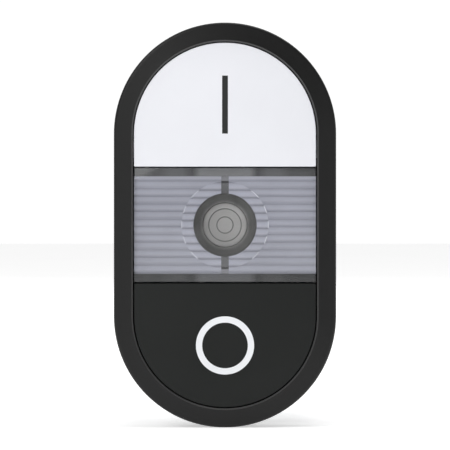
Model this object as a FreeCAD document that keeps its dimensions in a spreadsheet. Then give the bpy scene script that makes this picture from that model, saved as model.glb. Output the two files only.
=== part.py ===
import FreeCAD, Part

import math
import os
import re

import Sketcher

# Illuminated double pushbutton for a 22 mm panel hole: a white start cap above a black stop cap,
# a clear ribbed indicator lens between them, and behind the panel a ring nut, an adapter and
# three blocks (make contact, lamp, break contact).
#
# Each piece is drawn as the installer sees it: x to the right, y up the panel and z out of the
# panel towards the user, with z = 0 on the panel's face. Its Placement then turns it so that
# +Z is up and the face looks along -Y. The origin is on the neck's axis, on the panel's face.

SIZES = {
    # bezel
    "bezel_width": 29.7,
    "bezel_height": 54.1,
    "bezel_front": 9.6,
    "bezel_lift": 0.25,
    "bezel_wall": 1.2,
    "bezel_round": 1.1,
    "rim_width": 2.55,
    "flange_thick": 1.6,
    "window_edge": 0.2,
    # switch housing
    "tray_fit": 0.15,
    "tray_drop": 0.05,
    "gasket_thick": 0.8,
    "floor_thick": 1.6,
    "partition_thick": 0.9,
    "partition_rise": 4.0,
    "post_rise": 0.9,
    "ridge_reach": 0.3,
    "ridge_length": 9.0,
    "ridge_rise": 1.0,
    "ridge_place": 4.4,
    # neck and its thread
    "neck_outer": 22.0,
    "neck_wall": 1.6,
    "neck_depth": 12.5,
    "neck_clear": 0.2,
    "relief_depth": 0.9,
    "relief_cut": 0.2,
    "runout_width": 0.7,
    "key_width": 3.0,
    "key_rise": 1.8,
    "thread_pitch": 1.5,
    "thread_cut": 0.17,
    # light path
    "guide_width": 6.0,
    "guide_front": 3.2,
    "guide_end": 7.2,
    "guide_step": 0.15,
    "guide_middle": 4.4,
    "guide_tip": 2.2,
    "tube_fit": 0.1,
    "tube_wall": 1.1,
    "tube_depth": 7.0,
    "collar_rise": 2.0,
    "funnel_mouth": 8.46,
    "funnel_rise": 4.9,
    # indicator lens
    "lens_height": 15.3,
    "lens_set_back": 0.3,
    "lens_thick": 1.5,
    "lens_band": 1.15,
    "lens_step": 11.6,
    "lens_boss": 0.3,
    "rib_pitch": 1.02,
    "rib_cut": 0.5,
    "strip_width": 1.0,
    "lens_leg_width": 6.0,
    "lens_leg_thick": 1.1,
    "lens_leg_foot": 3.4,
    "nub_reach": 0.35,
    "nub_rise": 1.0,
    "lens_foot_place": 4.3,
    "lens_foot_width": 1.9,
    # button caps
    "cap_gap": 0.15,
    "cap_set_back": 0.2,
    "cap_top": 1.4,
    "cap_skirt": 1.0,
    "cap_edge": 0.27,
    "press_travel": 3.5,
    "foot_clear": 0.2,
    "tab_reach": 0.6,
    "tab_width": 2.4,
    "tab_rise": 1.3,
    "tab_clear": 0.15,
    "stub_rise": 0.6,
    # symbols
    "symbol_depth": 0.3,
    "bar_width": 0.78,
    "bar_height": 7.75,
    "ring_outer": 7.77,
    "ring_width": 0.84,
    # push rods
    "leg_width": 4.2,
    "leg_thick": 1.05,
    "leg_clear": 0.1,
    "rod_shelf": 0.75,
    "rod_start": 1.0,
    "rod_end": 13.5,
    "rod_clear": 0.2,
    "seal_border": 1.0,
    "seal_ledge": 0.4,
    "seal_set_back": 0.1,
    # return springs
    "coil_outer": 7.0,
    "coil_wire": 0.45,
    "coil_turns": 4,
    "coil_inset": 7.35,
    "coil_clear": 0.35,
    # ring nut
    "panel_depth": 3.0,
    "nut_outer": 29.0,
    "nut_thick": 4.0,
    "nut_clear": 0.1,
    "nut_slot": 3.2,
    "nut_slot_depth": 1.6,
    # fixing adapter and its lever
    "adapter_start": 8.0,
    "adapter_depth": 9.5,
    "adapter_edge": 0.6,
    "adapter_clear": 0.15,
    "opening_clear": 0.4,
    "lever_right": 6.0,
    "lever_stand": 4.14,
    "lever_hub": 5.2,
    "lever_thick": 2.5,
    "lever_clear": 0.2,
    "lever_arm": 3.0,
    "lever_reach": 21.5,
    "lever_inset": 1.5,
    "slot_left": 1.8,
    "slot_right": 13.2,
    "nose_width": 2.0,
    "nose_offset": 2.9,
    "pin_width": 2.0,
    "pin_fit": 0.05,
    # blocks
    "block_width": 9.2,
    "block_gap": 0.2,
    "block_height": 33.0,
    "block_depth": 26.0,
    "block_wall": 1.0,
    "cover_fit": 0.1,
    "hook_width": 3.6,
    "hook_thick": 1.4,
    "hook_rise": 1.9,
    "hook_place": 14.3,
    "hook_clear": 0.1,
    # contacts
    "stem_place": 8.2,
    "stem_width": 2.2,
    "stem_height": 4.0,
    "stem_fit": 0.1,
    "stem_gap": 0.05,
    "carriage_width": 5.2,
    "carriage_height": 6.0,
    "carriage_end": 34.0,
    "bridge_width": 3.0,
    "bridge_length": 16.0,
    "strip_thick": 0.8,
    "strip_front": 30.15,
    "strip_wide": 5.0,
    "strip_inner": 5.5,
    "strip_gap": 0.3,
    "tip_width": 2.6,
    "tip_rise": 0.4,
    "tip_place": 6.9,
    "contact_gap": 0.05,
    "plunger_outer": 4.4,
    "plunger_wire": 0.4,
    "plunger_turns": 5,
    # terminals
    "screw_inset": 3.9,
    "screw_shank": 3.4,
    "screw_fit": 0.05,
    "screw_head": 5.6,
    "screw_head_thick": 2.2,
    "screw_tip": 1.2,
    "cross_width": 0.8,
    "cross_length": 3.4,
    "cross_depth": 1.2,
    "clamp_wide": 5.0,
    "clamp_thick": 0.8,
    "wire_room": 2.2,
    "driver_hole": 5.0,
    # lamp
    "lamp_bulb": 5.0,
    "lamp_flat": 0.02,
    "lamp_flange": 5.8,
    "lamp_flange_rise": 1.0,
    "lamp_front": 8.4,
    "lamp_seat": 16.4,
    "lamp_lead": 0.5,
    "lamp_lead_place": 1.27,
    "tower_bore": 6.0,
    "tower_outer": 8.4,
    "tower_front": 12.5,
    "board_front": 19.6,
    "board_thick": 1.0,
    "board_width": 6.8,
    "board_height": 19.0,
    "chip_width": 1.6,
    "chip_height": 3.2,
    "chip_rise": 0.7,
    "chip_place": 4.4,
    "riser_thick": 0.8,
    "riser_place": 8.0,
}

# What follows from the sizes above. Depths behind the panel are positive in the sheet.
DERIVED = {
    "window_width": "bezel_width - 2 * rim_width",
    "window_height": "bezel_height - 2 * rim_width",
    "flange_back": "bezel_front - flange_thick",
    "tray_width": "bezel_width - 2 * (bezel_wall + tray_fit)",
    "tray_height": "bezel_height - 2 * (bezel_wall + tray_fit)",
    "tray_front": "flange_back - tray_drop",
    "floor_front": "gasket_thick + floor_thick",
    "face_width": "window_width - 2 * cap_gap",
    "face_height": "window_height - 2 * cap_gap",
    "cap_front": "bezel_front - cap_set_back",
    "cap_inside": "cap_front - cap_top",
    "cap_back": "floor_front + press_travel + foot_clear",
    "cap_low": "lens_height / 2 + cap_gap",
    "cap_high": "face_height / 2",
    "symbol_place": "(cap_low + cap_high) / 2",
    "coil_place": "cap_high - coil_inset",
    "lens_front": "bezel_front - lens_set_back",
    "lens_back": "lens_front - lens_thick",
    "partition_high": "lens_height / 2 - cap_gap",
    "partition_low": "partition_high - partition_thick",
    "partition_front": "floor_front + partition_rise",
    "tab_front": "flange_back - tab_clear + tray_drop",
    "tab_back": "tab_front - tab_rise",
    "tab_out": "face_width / 2 + tab_reach",
    "tab_place": "cap_low + cap_skirt + tab_clear + tab_width / 2",
    "leg_low": "cap_low + cap_gap",
    "leg_high": "leg_low + leg_thick",
    "rod_outer": "bore_radius - rod_clear",
    "rod_inner": "leg_low - rod_shelf",
    "seal_low": "leg_low - seal_border / 3",
    "seal_high": "leg_high + seal_border * 0.8",
    "seal_back": "gasket_thick + seal_ledge",
    "post_width": "coil_outer - 2 * coil_wire - 2 * coil_clear",
    "tube_outer": "guide_width + 2 * tube_fit + 2 * tube_wall",
    "neck_radius": "neck_outer / 2",
    "bore_radius": "neck_outer / 2 - neck_wall",
    "key_reach": "neck_outer / 2 + key_rise",
    "relief_radius": "neck_outer / 2 - relief_cut",
    "runout_end": "panel_depth + runout_width",
    "nut_end": "panel_depth + nut_thick",
    "adapter_end": "adapter_start + adapter_depth",
    "adapter_width": "3 * block_width + 3 * block_gap",
    "adapter_ledge": "neck_depth + adapter_clear",
    "lever_radius": "neck_radius + lever_stand",
    "lever_up": "sqrt(lever_radius ^ 2 - lever_right ^ 2)",
    "lever_start": "adapter_start + lever_inset",
    "lever_end": "lever_start + lever_thick",
    "block_end": "adapter_end + block_depth",
    "block_middle": "block_width + block_gap",
    "screw_place": "block_height / 2 - screw_inset",
    "strip_outer": "block_height / 2 - block_wall - strip_gap",
    "room_front": "adapter_end + block_wall",
    "room_end": "block_end - block_wall",
    "stem_front": "rod_end + stem_gap",
    "strip_end": "strip_front + strip_thick",
    "clamp_front": "strip_end + wire_room",
    "clamp_end": "clamp_front + clamp_thick",
    "make_bridge": "strip_front - 2 * tip_rise - contact_gap - press_travel - strip_thick",
    "break_bridge": "strip_end + 2 * tip_rise + contact_gap",
}

C = Sketcher.Constraint
V = FreeCAD.Vector

doc = FreeCAD.newDocument("double_pushbutton")
sheet = doc.addObject("Spreadsheet::Sheet", "Sizes")
for row, (alias, number) in enumerate(SIZES.items(), start=1):
    sheet.set("A%d" % row, str(number))
    sheet.setAlias("A%d" % row, alias)
doc.recompute()

nodes = []


def bound(text):
    """The text as an expression: each size by its cell, each derived size spelled out."""

    def link(found):
        word = found.group()
        if word in SIZES:
            return "Sizes." + word
        if word in DERIVED:
            return "(" + bound(DERIVED[word]) + ")"
        return word

    return re.sub(r"[a-z]\w+", link, text)


def value(text):
    """What the expression is worth now, in millimetres or degrees."""
    return float(sheet.evalExpression(bound(text)))


def piece(label, right="0", up="0", out="0", turned=False):
    """A body for one node, placed in the part's frame; a turned one is upside down."""
    made = doc.addObject("PartDesign::Body", label)
    made.Label = label
    made.AllowCompound = True
    tilt = FreeCAD.Rotation(V(1, 0, 0), 90)
    turn = FreeCAD.Rotation(V(0, 0, 1), 180 if turned else 0)
    made.Placement = FreeCAD.Placement(V(0, 0, 0), tilt * turn)
    made.setExpression("Placement.Base.x", bound(right))
    made.setExpression("Placement.Base.y", bound("-(%s)" % out))
    made.setExpression("Placement.Base.z", bound(up))
    nodes.append(made)
    return made


def origin_part(owner, role):
    """One of the body's own planes or axes."""
    return next(f for f in owner.Origin.OriginFeatures if f.Role == role)


def sketch(owner, level="0", role="XY_Plane"):
    """An empty sketch on one of the body's planes, moved by the level along its normal."""
    made = owner.newObject("Sketcher::SketchObject", owner.Name + "_sketch")
    made.AttachmentSupport = [(origin_part(owner, role), "")]
    made.MapMode = "FlatFace"
    made.setExpression("AttachmentOffset.Base.z", bound(level))
    return made


def fix(made, kind, places, size):
    """One dimension of a sketch, tied to the sheet."""
    index = made.addConstraint(C(kind, *places, value(size)))
    made.setExpression("Constraints[%d]" % index, bound(size))


def outline(made, corners):
    """A closed outline of straight edges, each corner placed by two sizes."""
    points = [V(value(x), value(y), 0) for x, y in corners]
    count = len(points)
    first = made.GeometryCount
    for i in range(count):
        made.addGeometry(Part.LineSegment(points[i], points[(i + 1) % count]))
    for i, (x, y) in enumerate(corners):
        edge = first + i
        made.addConstraint(C("Coincident", first + (i - 1) % count, 2, edge, 1))
        fix(made, "DistanceX", (-1, 1, edge, 1), x)
        fix(made, "DistanceY", (-1, 1, edge, 1), y)


def box(made, left, right, low, high):
    """A rectangle between four sizes."""
    outline(made, [(left, low), (right, low), (right, high), (left, high)])


def wide(made, width, low, high):
    """A rectangle centred on the sketch's upright axis."""
    box(made, "-(%s) / 2" % width, "(%s) / 2" % width, low, high)


def disc(made, width, right="0", up="0"):
    """A circle of the given diameter."""
    centre = V(value(right), value(up), 0)
    edge = made.addGeometry(Part.Circle(centre, V(0, 0, 1), value(width) / 2))
    fix(made, "Diameter", (edge,), width)
    fix(made, "DistanceX", (-1, 1, edge, 3), right)
    fix(made, "DistanceY", (-1, 1, edge, 3), up)


def obround(made, width, height):
    """An upright slot shape with round ends, centred on the origin."""
    radius = value(width) / 2
    rise = value(height) / 2 - radius
    up, down = V(0, rise, 0), V(0, -rise, 0)
    top = made.addGeometry(Part.ArcOfCircle(Part.Circle(up, V(0, 0, 1), radius), 0, math.pi))
    left = made.addGeometry(Part.LineSegment(V(-radius, rise, 0), V(-radius, -rise, 0)))
    lower = Part.Circle(down, V(0, 0, 1), radius)
    bottom = made.addGeometry(Part.ArcOfCircle(lower, math.pi, 2 * math.pi))
    right = made.addGeometry(Part.LineSegment(V(radius, -rise, 0), V(radius, rise, 0)))
    around = [top, left, bottom, right]
    for i, edge in enumerate(around):
        made.addConstraint(C("Tangent", edge, 2, around[(i + 1) % 4], 1))
    made.addConstraint(C("Vertical", left))
    made.addConstraint(C("PointOnObject", top, 3, -2))
    made.addConstraint(C("Symmetric", top, 3, bottom, 3, -1, 1))
    fix(made, "Radius", (top,), "(%s) / 2" % width)
    fix(made, "DistanceY", (-1, 1, top, 3), "(%s) / 2 - (%s) / 2" % (height, width))


def feature(owner, kind, made):
    """A feature of the body made from a sketch."""
    added = owner.newObject("PartDesign::" + kind, owner.Name + "_" + kind.lower())
    added.Profile = made
    return added


def add(owner, back, front, *shapes):
    """Material between two levels; each shape is a drawing function and its sizes."""
    made = sketch(owner, back)
    for draw, *sizes in shapes:
        draw(made, *sizes)
    added = feature(owner, "Pad", made)
    added.setExpression("Length", bound("(%s) - (%s)" % (front, back)))
    return added


def cut(owner, back, front, *shapes):
    """Material taken away between two levels."""
    made = sketch(owner, back)
    for draw, *sizes in shapes:
        draw(made, *sizes)
    added = feature(owner, "Pocket", made)
    added.Reversed = True
    added.setExpression("Length", bound("(%s) - (%s)" % (front, back)))
    return added


def turned_profile(owner, kind, corners, angle=360, start=0):
    """A profile of radius and level turned about the z axis, from the start angle on."""
    made = sketch(owner, role="XZ_Plane")
    made.AttachmentOffset = FreeCAD.Placement(V(0, 0, 0), FreeCAD.Rotation(V(0, 1, 0), start))
    outline(made, corners)
    added = feature(owner, kind, made)
    added.ReferenceAxis = (made, ["V_Axis"])
    added.Angle = angle
    return added


def pattern(owner, base, kind, **settings):
    """A repeat of a feature; the body ends with it."""
    added = owner.newObject("PartDesign::" + kind, owner.Name + "_" + kind.lower())
    added.Originals = [base]
    for name, setting in settings.items():
        if isinstance(setting, str):
            added.setExpression(name, bound(setting))
        else:
            setattr(added, name, setting)
    owner.Tip = added
    return added


def both_ends(owner, base):
    """The feature again on the other side of the level plane."""
    side = origin_part(owner, "XZ_Plane")
    return pattern(owner, base, "Mirrored", MirrorPlane=(side, [""]))


def both_sides(owner, base):
    """The feature again on the other side of the upright plane."""
    side = origin_part(owner, "YZ_Plane")
    return pattern(owner, base, "Mirrored", MirrorPlane=(side, [""]))


def break_edges(owner, kind, size, wanted):
    """A fillet or chamfer on the edges that lie wholly where wanted(x, y, z) holds."""
    doc.recompute()
    base = owner.Tip
    names = []
    for number, edge in enumerate(base.Shape.Edges, start=1):
        ends = edge.ParameterRange
        points = [edge.valueAt(ends[0] + (ends[1] - ends[0]) * i / 4) for i in range(5)]
        if all(wanted(p.x, p.y, p.z) for p in points):
            names.append("Edge%d" % number)
    added = owner.newObject("PartDesign::" + kind, owner.Name + "_" + kind.lower())
    added.Base = (base, names)
    added.setExpression("Radius" if kind == "Fillet" else "Size", bound(size))
    return added


def at(level):
    """A test for points on one level."""
    height = value(level)
    return lambda x, y, z: abs(z - height) < 0.001


def off_axis(x, y, width, height):
    """How far a point is outside (plus) or inside (minus) an obround outline."""
    rise = max(abs(y) - (height - width) / 2, 0)
    return math.hypot(x, rise) - width / 2


def coil(label, outer, wire, turns, low, high, right, up, turned=False):
    """A helical spring between two levels, its ends lying half a wire inside them."""
    height = "(%s) - (%s) - %s" % (high, low, wire)
    made = piece(label, right, up, "%s + %s / 2" % (low, wire), turned)
    ring = sketch(made, role="XZ_Plane")
    edge = ring.addGeometry(Part.Circle(V(value(outer) / 2, 0, 0), V(0, 0, 1), value(wire) / 2))
    fix(ring, "Diameter", (edge,), wire)
    fix(ring, "DistanceX", (-1, 1, edge, 3), "%s / 2 - %s / 2" % (outer, wire))
    ring.addConstraint(C("PointOnObject", edge, 3, -1))
    helix = feature(made, "AdditiveHelix", ring)
    helix.ReferenceAxis = (ring, ["V_Axis"])
    helix.Mode = 2
    helix.setExpression("Height", bound(height))
    helix.setExpression("Turns", bound(turns))
    return made


# ---------------------------------------------------------------- the head


def front_bezel():
    """The obround frame: a shell whose front flange is open around the two caps and the lens."""
    made = piece("front_bezel")
    add(made, "bezel_lift", "bezel_front", (obround, "bezel_width", "bezel_height"))
    hollow = (obround, "bezel_width - 2 * bezel_wall", "bezel_height - 2 * bezel_wall")
    cut(made, "bezel_lift", "flange_back", hollow)
    cut(made, "flange_back", "bezel_front", (obround, "window_width", "window_height"))
    groove = "tray_width + 2 * ridge_reach + 2 * tray_fit"
    cut(made, "ridge_place", "ridge_place + ridge_rise + tray_fit",
        (box, "-(%s) / 2" % groove, "(%s) / 2" % groove,
         "-ridge_length / 2 - tray_fit", "ridge_length / 2 + tray_fit"))
    front = at("bezel_front")
    width, height = value("bezel_width"), value("bezel_height")
    break_edges(made, "Fillet", "bezel_round",
                lambda x, y, z: front(x, y, z) and off_axis(x, y, width, height) > -0.01)
    break_edges(made, "Chamfer", "window_edge",
                lambda x, y, z: front(x, y, z) and off_axis(x, y, width, height) < -2)


def switch_housing():
    """The tray behind the bezel with its floor, the threaded neck and the light tube."""
    made = piece("switch_housing")
    add(made, "gasket_thick", "floor_front", (obround, "tray_width", "tray_height"))
    add(made, "floor_front", "tray_front", (obround, "tray_width", "tray_height"),
        (obround, "window_width", "window_height"))
    ridge = add(made, "ridge_place", "ridge_place + ridge_rise",
                (box, "window_width / 2 + ridge_reach", "tray_width / 2 + ridge_reach",
                 "-ridge_length / 2", "ridge_length / 2"))
    both_sides(made, ridge)
    wall = add(made, "floor_front", "partition_front",
               (wide, "window_width + cap_gap", "partition_low", "partition_high"))
    both_ends(made, wall)
    groove = cut(made, "tab_back - press_travel - foot_clear", "tray_front",
                 (wide, "2 * (tab_out + tab_clear)", "tab_place - tab_width / 2 - tab_clear",
                  "tab_place + tab_width / 2 + tab_clear"))
    both_ends(made, groove)
    cut(made, "lens_leg_foot - tab_clear", "lens_leg_foot + nub_rise + tab_clear",
        (wide, "face_width + 2 * nub_reach + 2 * tray_fit",
         "-lens_leg_width / 2 - tab_clear", "lens_leg_width / 2 + tab_clear"))
    post = add(made, "floor_front", "floor_front + post_rise",
               (disc, "post_width", "0", "coil_place"))
    both_ends(made, post)
    neck(made)
    light_tube(made)
    leg_openings(made)


def neck(made):
    """The neck: its key and relief, the plain collar in the panel's hole, and the thread."""
    turned_profile(made, "Revolution", [
        ("bore_radius", "-neck_depth"), ("neck_radius", "-neck_depth"),
        ("neck_radius", "-(runout_end)"), ("relief_radius", "-(runout_end)"),
        ("relief_radius", "-panel_depth"), ("neck_radius", "-panel_depth"),
        ("neck_radius", "-relief_depth"), ("relief_radius", "-relief_depth"),
        ("relief_radius", "gasket_thick"), ("bore_radius", "gasket_thick")])
    add(made, "-relief_depth", "gasket_thick",
        (wide, "key_width", "bore_radius + relief_cut", "key_reach"))
    first = "runout_end + thread_pitch"
    thread = turned_profile(made, "Groove", [
        ("neck_radius - thread_cut", "-(%s)" % first),
        ("neck_radius + thread_cut", "-(%s) - 2 * thread_cut" % first),
        ("neck_radius + thread_cut", "-(%s) + 2 * thread_cut" % first)])
    turns = int((value("neck_depth") - value(first)) / value("thread_pitch"))
    pattern(made, thread, "LinearPattern", Direction=(origin_part(made, "Z_Axis"), [""]),
            Reversed=True, Length="thread_pitch * %d" % (turns - 1), Occurrences=turns)


def light_tube(made):
    """The tube that holds the light guide, and the funnel above it."""
    bore = "guide_width / 2 + tube_fit"
    turned_profile(made, "Revolution", [
        ("guide_width / 2", "-tube_depth"), ("tube_outer / 2", "-tube_depth"),
        ("tube_outer / 2", "floor_front - tube_fit"), (bore, "floor_front - tube_fit"),
        (bore, "-tube_depth + collar_rise"), ("guide_width / 2", "-tube_depth + collar_rise")])
    turned_profile(made, "Revolution", [
        (bore, "gasket_thick"), ("funnel_mouth / 2 + tube_wall", "gasket_thick"),
        ("funnel_mouth / 2 + tube_wall", "floor_front + funnel_rise"),
        ("funnel_mouth / 2", "floor_front + funnel_rise"), (bore, "guide_front")])
    cut(made, "-tube_fit", "guide_front", (disc, "guide_width + 2 * tube_fit"))


def leg_openings(made):
    """The two slots for the push rods' legs, each with a seat for its seal."""
    seat = cut(made, "seal_back", "floor_front",
               (wide, "leg_width + 2 * seal_border", "seal_low", "seal_high"))
    both_ends(made, seat)
    slot = cut(made, "gasket_thick - tube_fit", "floor_front",
               (wide, "leg_width + 4 * leg_clear", "leg_low - 2 * leg_clear",
                "leg_high + leg_clear"))
    both_ends(made, slot)


def panel_gasket():
    """The flat seal between the tray and the panel, notched for the key."""
    made = piece("panel_gasket")
    add(made, "0", "gasket_thick",
        (obround, "tray_width - 2 * tray_fit / 3", "tray_height - 2 * tray_fit / 3"))
    cut(made, "0", "gasket_thick", (disc, "neck_outer + 2 * neck_clear"))
    cut(made, "0", "gasket_thick", (wide, "key_width + neck_clear", "0", "key_reach + neck_clear"))


def button_cap(label, turned, symbol):
    """A hollow cap with a bevelled edge, two tabs under the flange and a sunk symbol."""
    made = piece(label, turned=turned)
    add(made, "cap_back", "cap_front", (obround, "face_width", "face_height"))
    cut(made, "cap_back", "cap_front", (wide, "bezel_width", "-bezel_height / 2", "cap_low"))
    cut(made, "cap_back", "cap_inside",
        (obround, "face_width - 2 * cap_skirt", "face_height - 2 * cap_skirt"))
    add(made, "cap_back", "cap_inside",
        (wide, "face_width - cap_skirt", "cap_low", "cap_low + cap_skirt"))
    front = at("cap_front")
    break_edges(made, "Chamfer", "cap_edge", front)
    cut(made, "cap_back", "cap_inside",
        (wide, "leg_width + 2 * leg_clear", "cap_low - cap_gap", "leg_high + leg_clear"))
    tab = add(made, "tab_back", "tab_front",
              (box, "face_width / 2 - cap_skirt", "tab_out",
               "tab_place - tab_width / 2", "tab_place + tab_width / 2"))
    both_sides(made, tab)
    add(made, "cap_inside - stub_rise", "cap_inside", (disc, "post_width", "0", "coil_place"))
    cut(made, "cap_front - symbol_depth", "cap_front", *symbol)


def symbol_inlay(label, turned, symbol):
    """The second-colour symbol, flush with the cap's face."""
    made = piece(label, turned=turned)
    add(made, "cap_front - symbol_depth", "cap_front", *symbol)


def push_rod(label, turned):
    """A flat leg under the cap that widens into part of a ring inside the neck."""
    made = piece(label, turned=turned)
    add(made, "-rod_start", "cap_inside", (wide, "leg_width", "leg_low", "leg_high"))
    turned_profile(made, "Revolution", [
        ("rod_inner", "-rod_end"), ("rod_outer", "-rod_end"),
        ("rod_outer", "-rod_start"), ("rod_inner", "-rod_start")],
        angle=110, start=75)


def wiper_seal(label, turned):
    """A rubber collar in the floor that wipes the leg."""
    made = piece(label, turned=turned)
    add(made, "seal_back", "floor_front - seal_set_back",
        (wide, "leg_width + 2 * seal_border - leg_clear / 2", "seal_low + leg_clear / 4",
         "seal_high - leg_clear / 4"),
        (wide, "leg_width + leg_clear", "leg_low - leg_clear / 2", "leg_high + leg_clear / 2"))


def indicator_lens():
    """The clear lens: flat face, ribs and a round boss behind, clipped in by two legs."""
    made = piece("indicator_lens")
    half = "lens_height / 2"
    add(made, "lens_back", "lens_front", (wide, "face_width", "-" + half, half))
    profile = sketch(made, "strip_width / 2", role="YZ_Plane")
    count = int((value("lens_height") - 2 * value("lens_band")) / value("rib_pitch"))
    for i in range(count):
        middle = "rib_pitch * %.1f" % (i - (count - 1) / 2)
        outline(profile, [(middle + " - rib_cut", "lens_back - rib_cut / 5"),
                          (middle + " + rib_cut", "lens_back - rib_cut / 5"),
                          (middle, "lens_back + rib_cut")])
    rib = feature(made, "Pocket", profile)
    rib.Reversed = True
    rib.setExpression("Length", bound("face_width / 2"))
    both_sides(made, rib)
    add(made, "lens_back", "lens_front - window_edge", (disc, "lens_step"))
    add(made, "lens_back - lens_boss", "lens_back", (disc, "lens_step"), (disc, "funnel_mouth"))
    leg = add(made, "lens_leg_foot", "lens_back",
              (box, "face_width / 2 - lens_leg_thick", "face_width / 2",
               "-lens_leg_width / 2", "lens_leg_width / 2"))
    both_sides(made, leg)
    nub = add(made, "lens_leg_foot", "lens_leg_foot + nub_rise",
              (box, "face_width / 2 - lens_leg_thick / 2", "face_width / 2 + nub_reach",
               "-lens_leg_width / 2", "lens_leg_width / 2"))
    both_sides(made, nub)
    near = "lens_foot_place - lens_foot_width / 2"
    far = "lens_foot_place + lens_foot_width / 2"
    feet = add(made, "partition_front", "lens_back",
               (box, near, far, "partition_low", "partition_high"),
               (box, near, far, "-(partition_high)", "-(partition_low)"))
    both_sides(made, feet)


def light_guide():
    """The clear rod that brings the lamp's light to the lens, stepped at its front."""
    made = piece("light_guide")
    shoulder = "guide_front - 2 * guide_step"
    middle = "guide_front - guide_step"
    turned_profile(made, "Revolution", [
        ("0", "-guide_end"), ("guide_width / 2", "-guide_end"), ("guide_width / 2", shoulder),
        ("guide_middle / 2", shoulder), ("guide_middle / 2", middle), ("guide_tip / 2", middle),
        ("guide_tip / 2", "guide_front"), ("0", "guide_front")])


# ---------------------------------------------------------------- behind the panel


def ring_nut():
    """The notched nut that clamps the panel; its bore clears the thread."""
    made = piece("ring_nut")
    bore = "neck_outer + 2 * nut_clear"
    add(made, "-(nut_end)", "-panel_depth", (disc, "nut_outer"), (disc, bore))
    notch = cut(made, "-(nut_end)", "-(nut_end) + nut_slot_depth",
                (box, "nut_outer / 2 - nut_slot_depth", "nut_outer / 2 + 1",
                 "-nut_slot / 2", "nut_slot / 2"))
    pattern(made, notch, "PolarPattern", Axis=(origin_part(made, "Z_Axis"), [""]),
            Angle=360, Occurrences=8)
    width = value("nut_outer") / 2
    front = at("-panel_depth")
    break_edges(made, "Chamfer", "window_edge",
                lambda x, y, z: front(x, y, z) and math.hypot(x, y) > width - 0.01)


def fixing_adapter():
    """The frame that carries the three blocks and turns locked on the neck's end."""
    made = piece("fixing_adapter")
    half = "adapter_width / 2"
    tall = "block_height / 2"
    add(made, "-(adapter_end)", "-adapter_start", (box, "-" + half, half, "-" + tall, tall))
    cut(made, "-(adapter_ledge)", "-adapter_start", (disc, "neck_outer + 2 * adapter_clear"))
    cut(made, "-(adapter_end)", "-(adapter_ledge)",
        (disc, "2 * rod_outer + 2 * opening_clear"))
    cut(made, "-(lever_end) - lever_clear", "-(lever_start) + lever_clear",
        (box, "slot_left", "slot_right", "neck_radius - lever_hub / 2", "block_height"))
    cut(made, "-(lever_end) - lever_inset", "-(lever_start) + lever_inset / 2",
        (disc, "pin_width", "lever_right", "lever_up"))
    for middle in ("-(block_middle)", "0", "block_middle"):
        hole = cut(made, "-(adapter_end)", "-(adapter_end) + hook_rise + hook_clear",
                   (box, "%s - hook_width / 2 - hook_clear" % middle,
                    "%s + hook_width / 2 + hook_clear" % middle,
                    "hook_place - hook_thick / 2 - hook_clear",
                    "hook_place + hook_thick / 2 + hook_clear"))
        both_ends(made, hole)
    width, height = value("adapter_width") / 2, value("block_height") / 2
    break_edges(made, "Chamfer", "adapter_edge",
                lambda x, y, z: abs(abs(x) - width) < 0.001 and abs(abs(y) - height) < 0.001)


def lock_lever():
    """The lever whose nose locks the adapter; it turns on a pin beside the neck."""
    made = piece("lock_lever", right="lever_right", up="lever_up", out="-(lever_end)")
    add(made, "0", "lever_thick", (disc, "lever_hub"))
    share = "nose_offset / (lever_radius)"
    add(made, "0", "lever_thick",
        (disc, "nose_width", "-lever_right * " + share, "-lever_up * " + share))
    add(made, "0", "lever_thick",
        (wide, "lever_arm", "pin_width / 2 + 2 * pin_fit", "lever_reach - lever_up"))
    cut(made, "0", "lever_thick", (disc, "pin_width + 2 * pin_fit"))
    far = value("lever_reach - lever_up")
    break_edges(made, "Fillet", "lever_arm / 3",
                lambda x, y, z: abs(y - far) < 0.001 and abs(abs(x) - value("lever_arm / 2")) < 0.001)


def lever_pin():
    """The pin that the lock lever turns on."""
    made = piece("lever_pin")
    add(made, "-(lever_end) - lever_inset", "-(lever_start) + lever_inset / 2",
        (disc, "pin_width", "lever_right", "lever_up"))


# ---------------------------------------------------------------- blocks
# Each block is drawn about its own middle, x = 0, and placed beside its neighbours. The cover
# closes the side at plus x, so the make block lies turned and the break block as drawn.


def block_housing(label, right, turned, front_hole):
    """A box open on its cover side, with hooks, wire entries and screwdriver holes."""
    made = piece(label, right=right, turned=turned)
    half = "block_width / 2"
    tall = "block_height / 2"
    add(made, "-(block_end)", "-(adapter_end)", (box, "-" + half, half, "-" + tall, tall))
    inner = "block_height / 2 - block_wall"
    cut(made, "-(room_end)", "-(room_front)",
        (box, "-(%s) + block_wall" % half, half + " + 1", "-(%s)" % inner, inner))
    hook = add(made, "-(adapter_end)", "-(adapter_end) + hook_rise",
               (wide, "hook_width", "hook_place - hook_thick / 2", "hook_place + hook_thick / 2"))
    both_ends(made, hook)
    wire = cut(made, "-(clamp_front)", "-(strip_end)",
               (wide, "strip_wide", inner + " - 1", tall + " + 1"))
    both_ends(made, wire)
    driver = cut(made, "-(block_end)", "-(room_end)", (disc, "driver_hole", "0", "screw_place"))
    both_ends(made, driver)
    front_hole(made)
    return made


def stem_hole(made):
    """The slot that guides the stem through the block's front wall."""
    inward = "block_middle - stem_place"
    cut(made, "-(room_front)", "-(adapter_end)",
        (box, "-(%s) - stem_width / 2 - stem_fit" % inward,
         "-(%s) + stem_width / 2 + stem_fit" % inward,
         "-stem_height / 2 - stem_fit", "stem_height / 2 + stem_fit"))


def lamp_tower(made):
    """The tube in front of the lamp block that holds the lamp's base."""
    add(made, "-(adapter_end)", "-tower_front", (disc, "tower_outer"))
    cut(made, "-(room_front)", "-tower_front", (disc, "tower_bore"))


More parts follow.
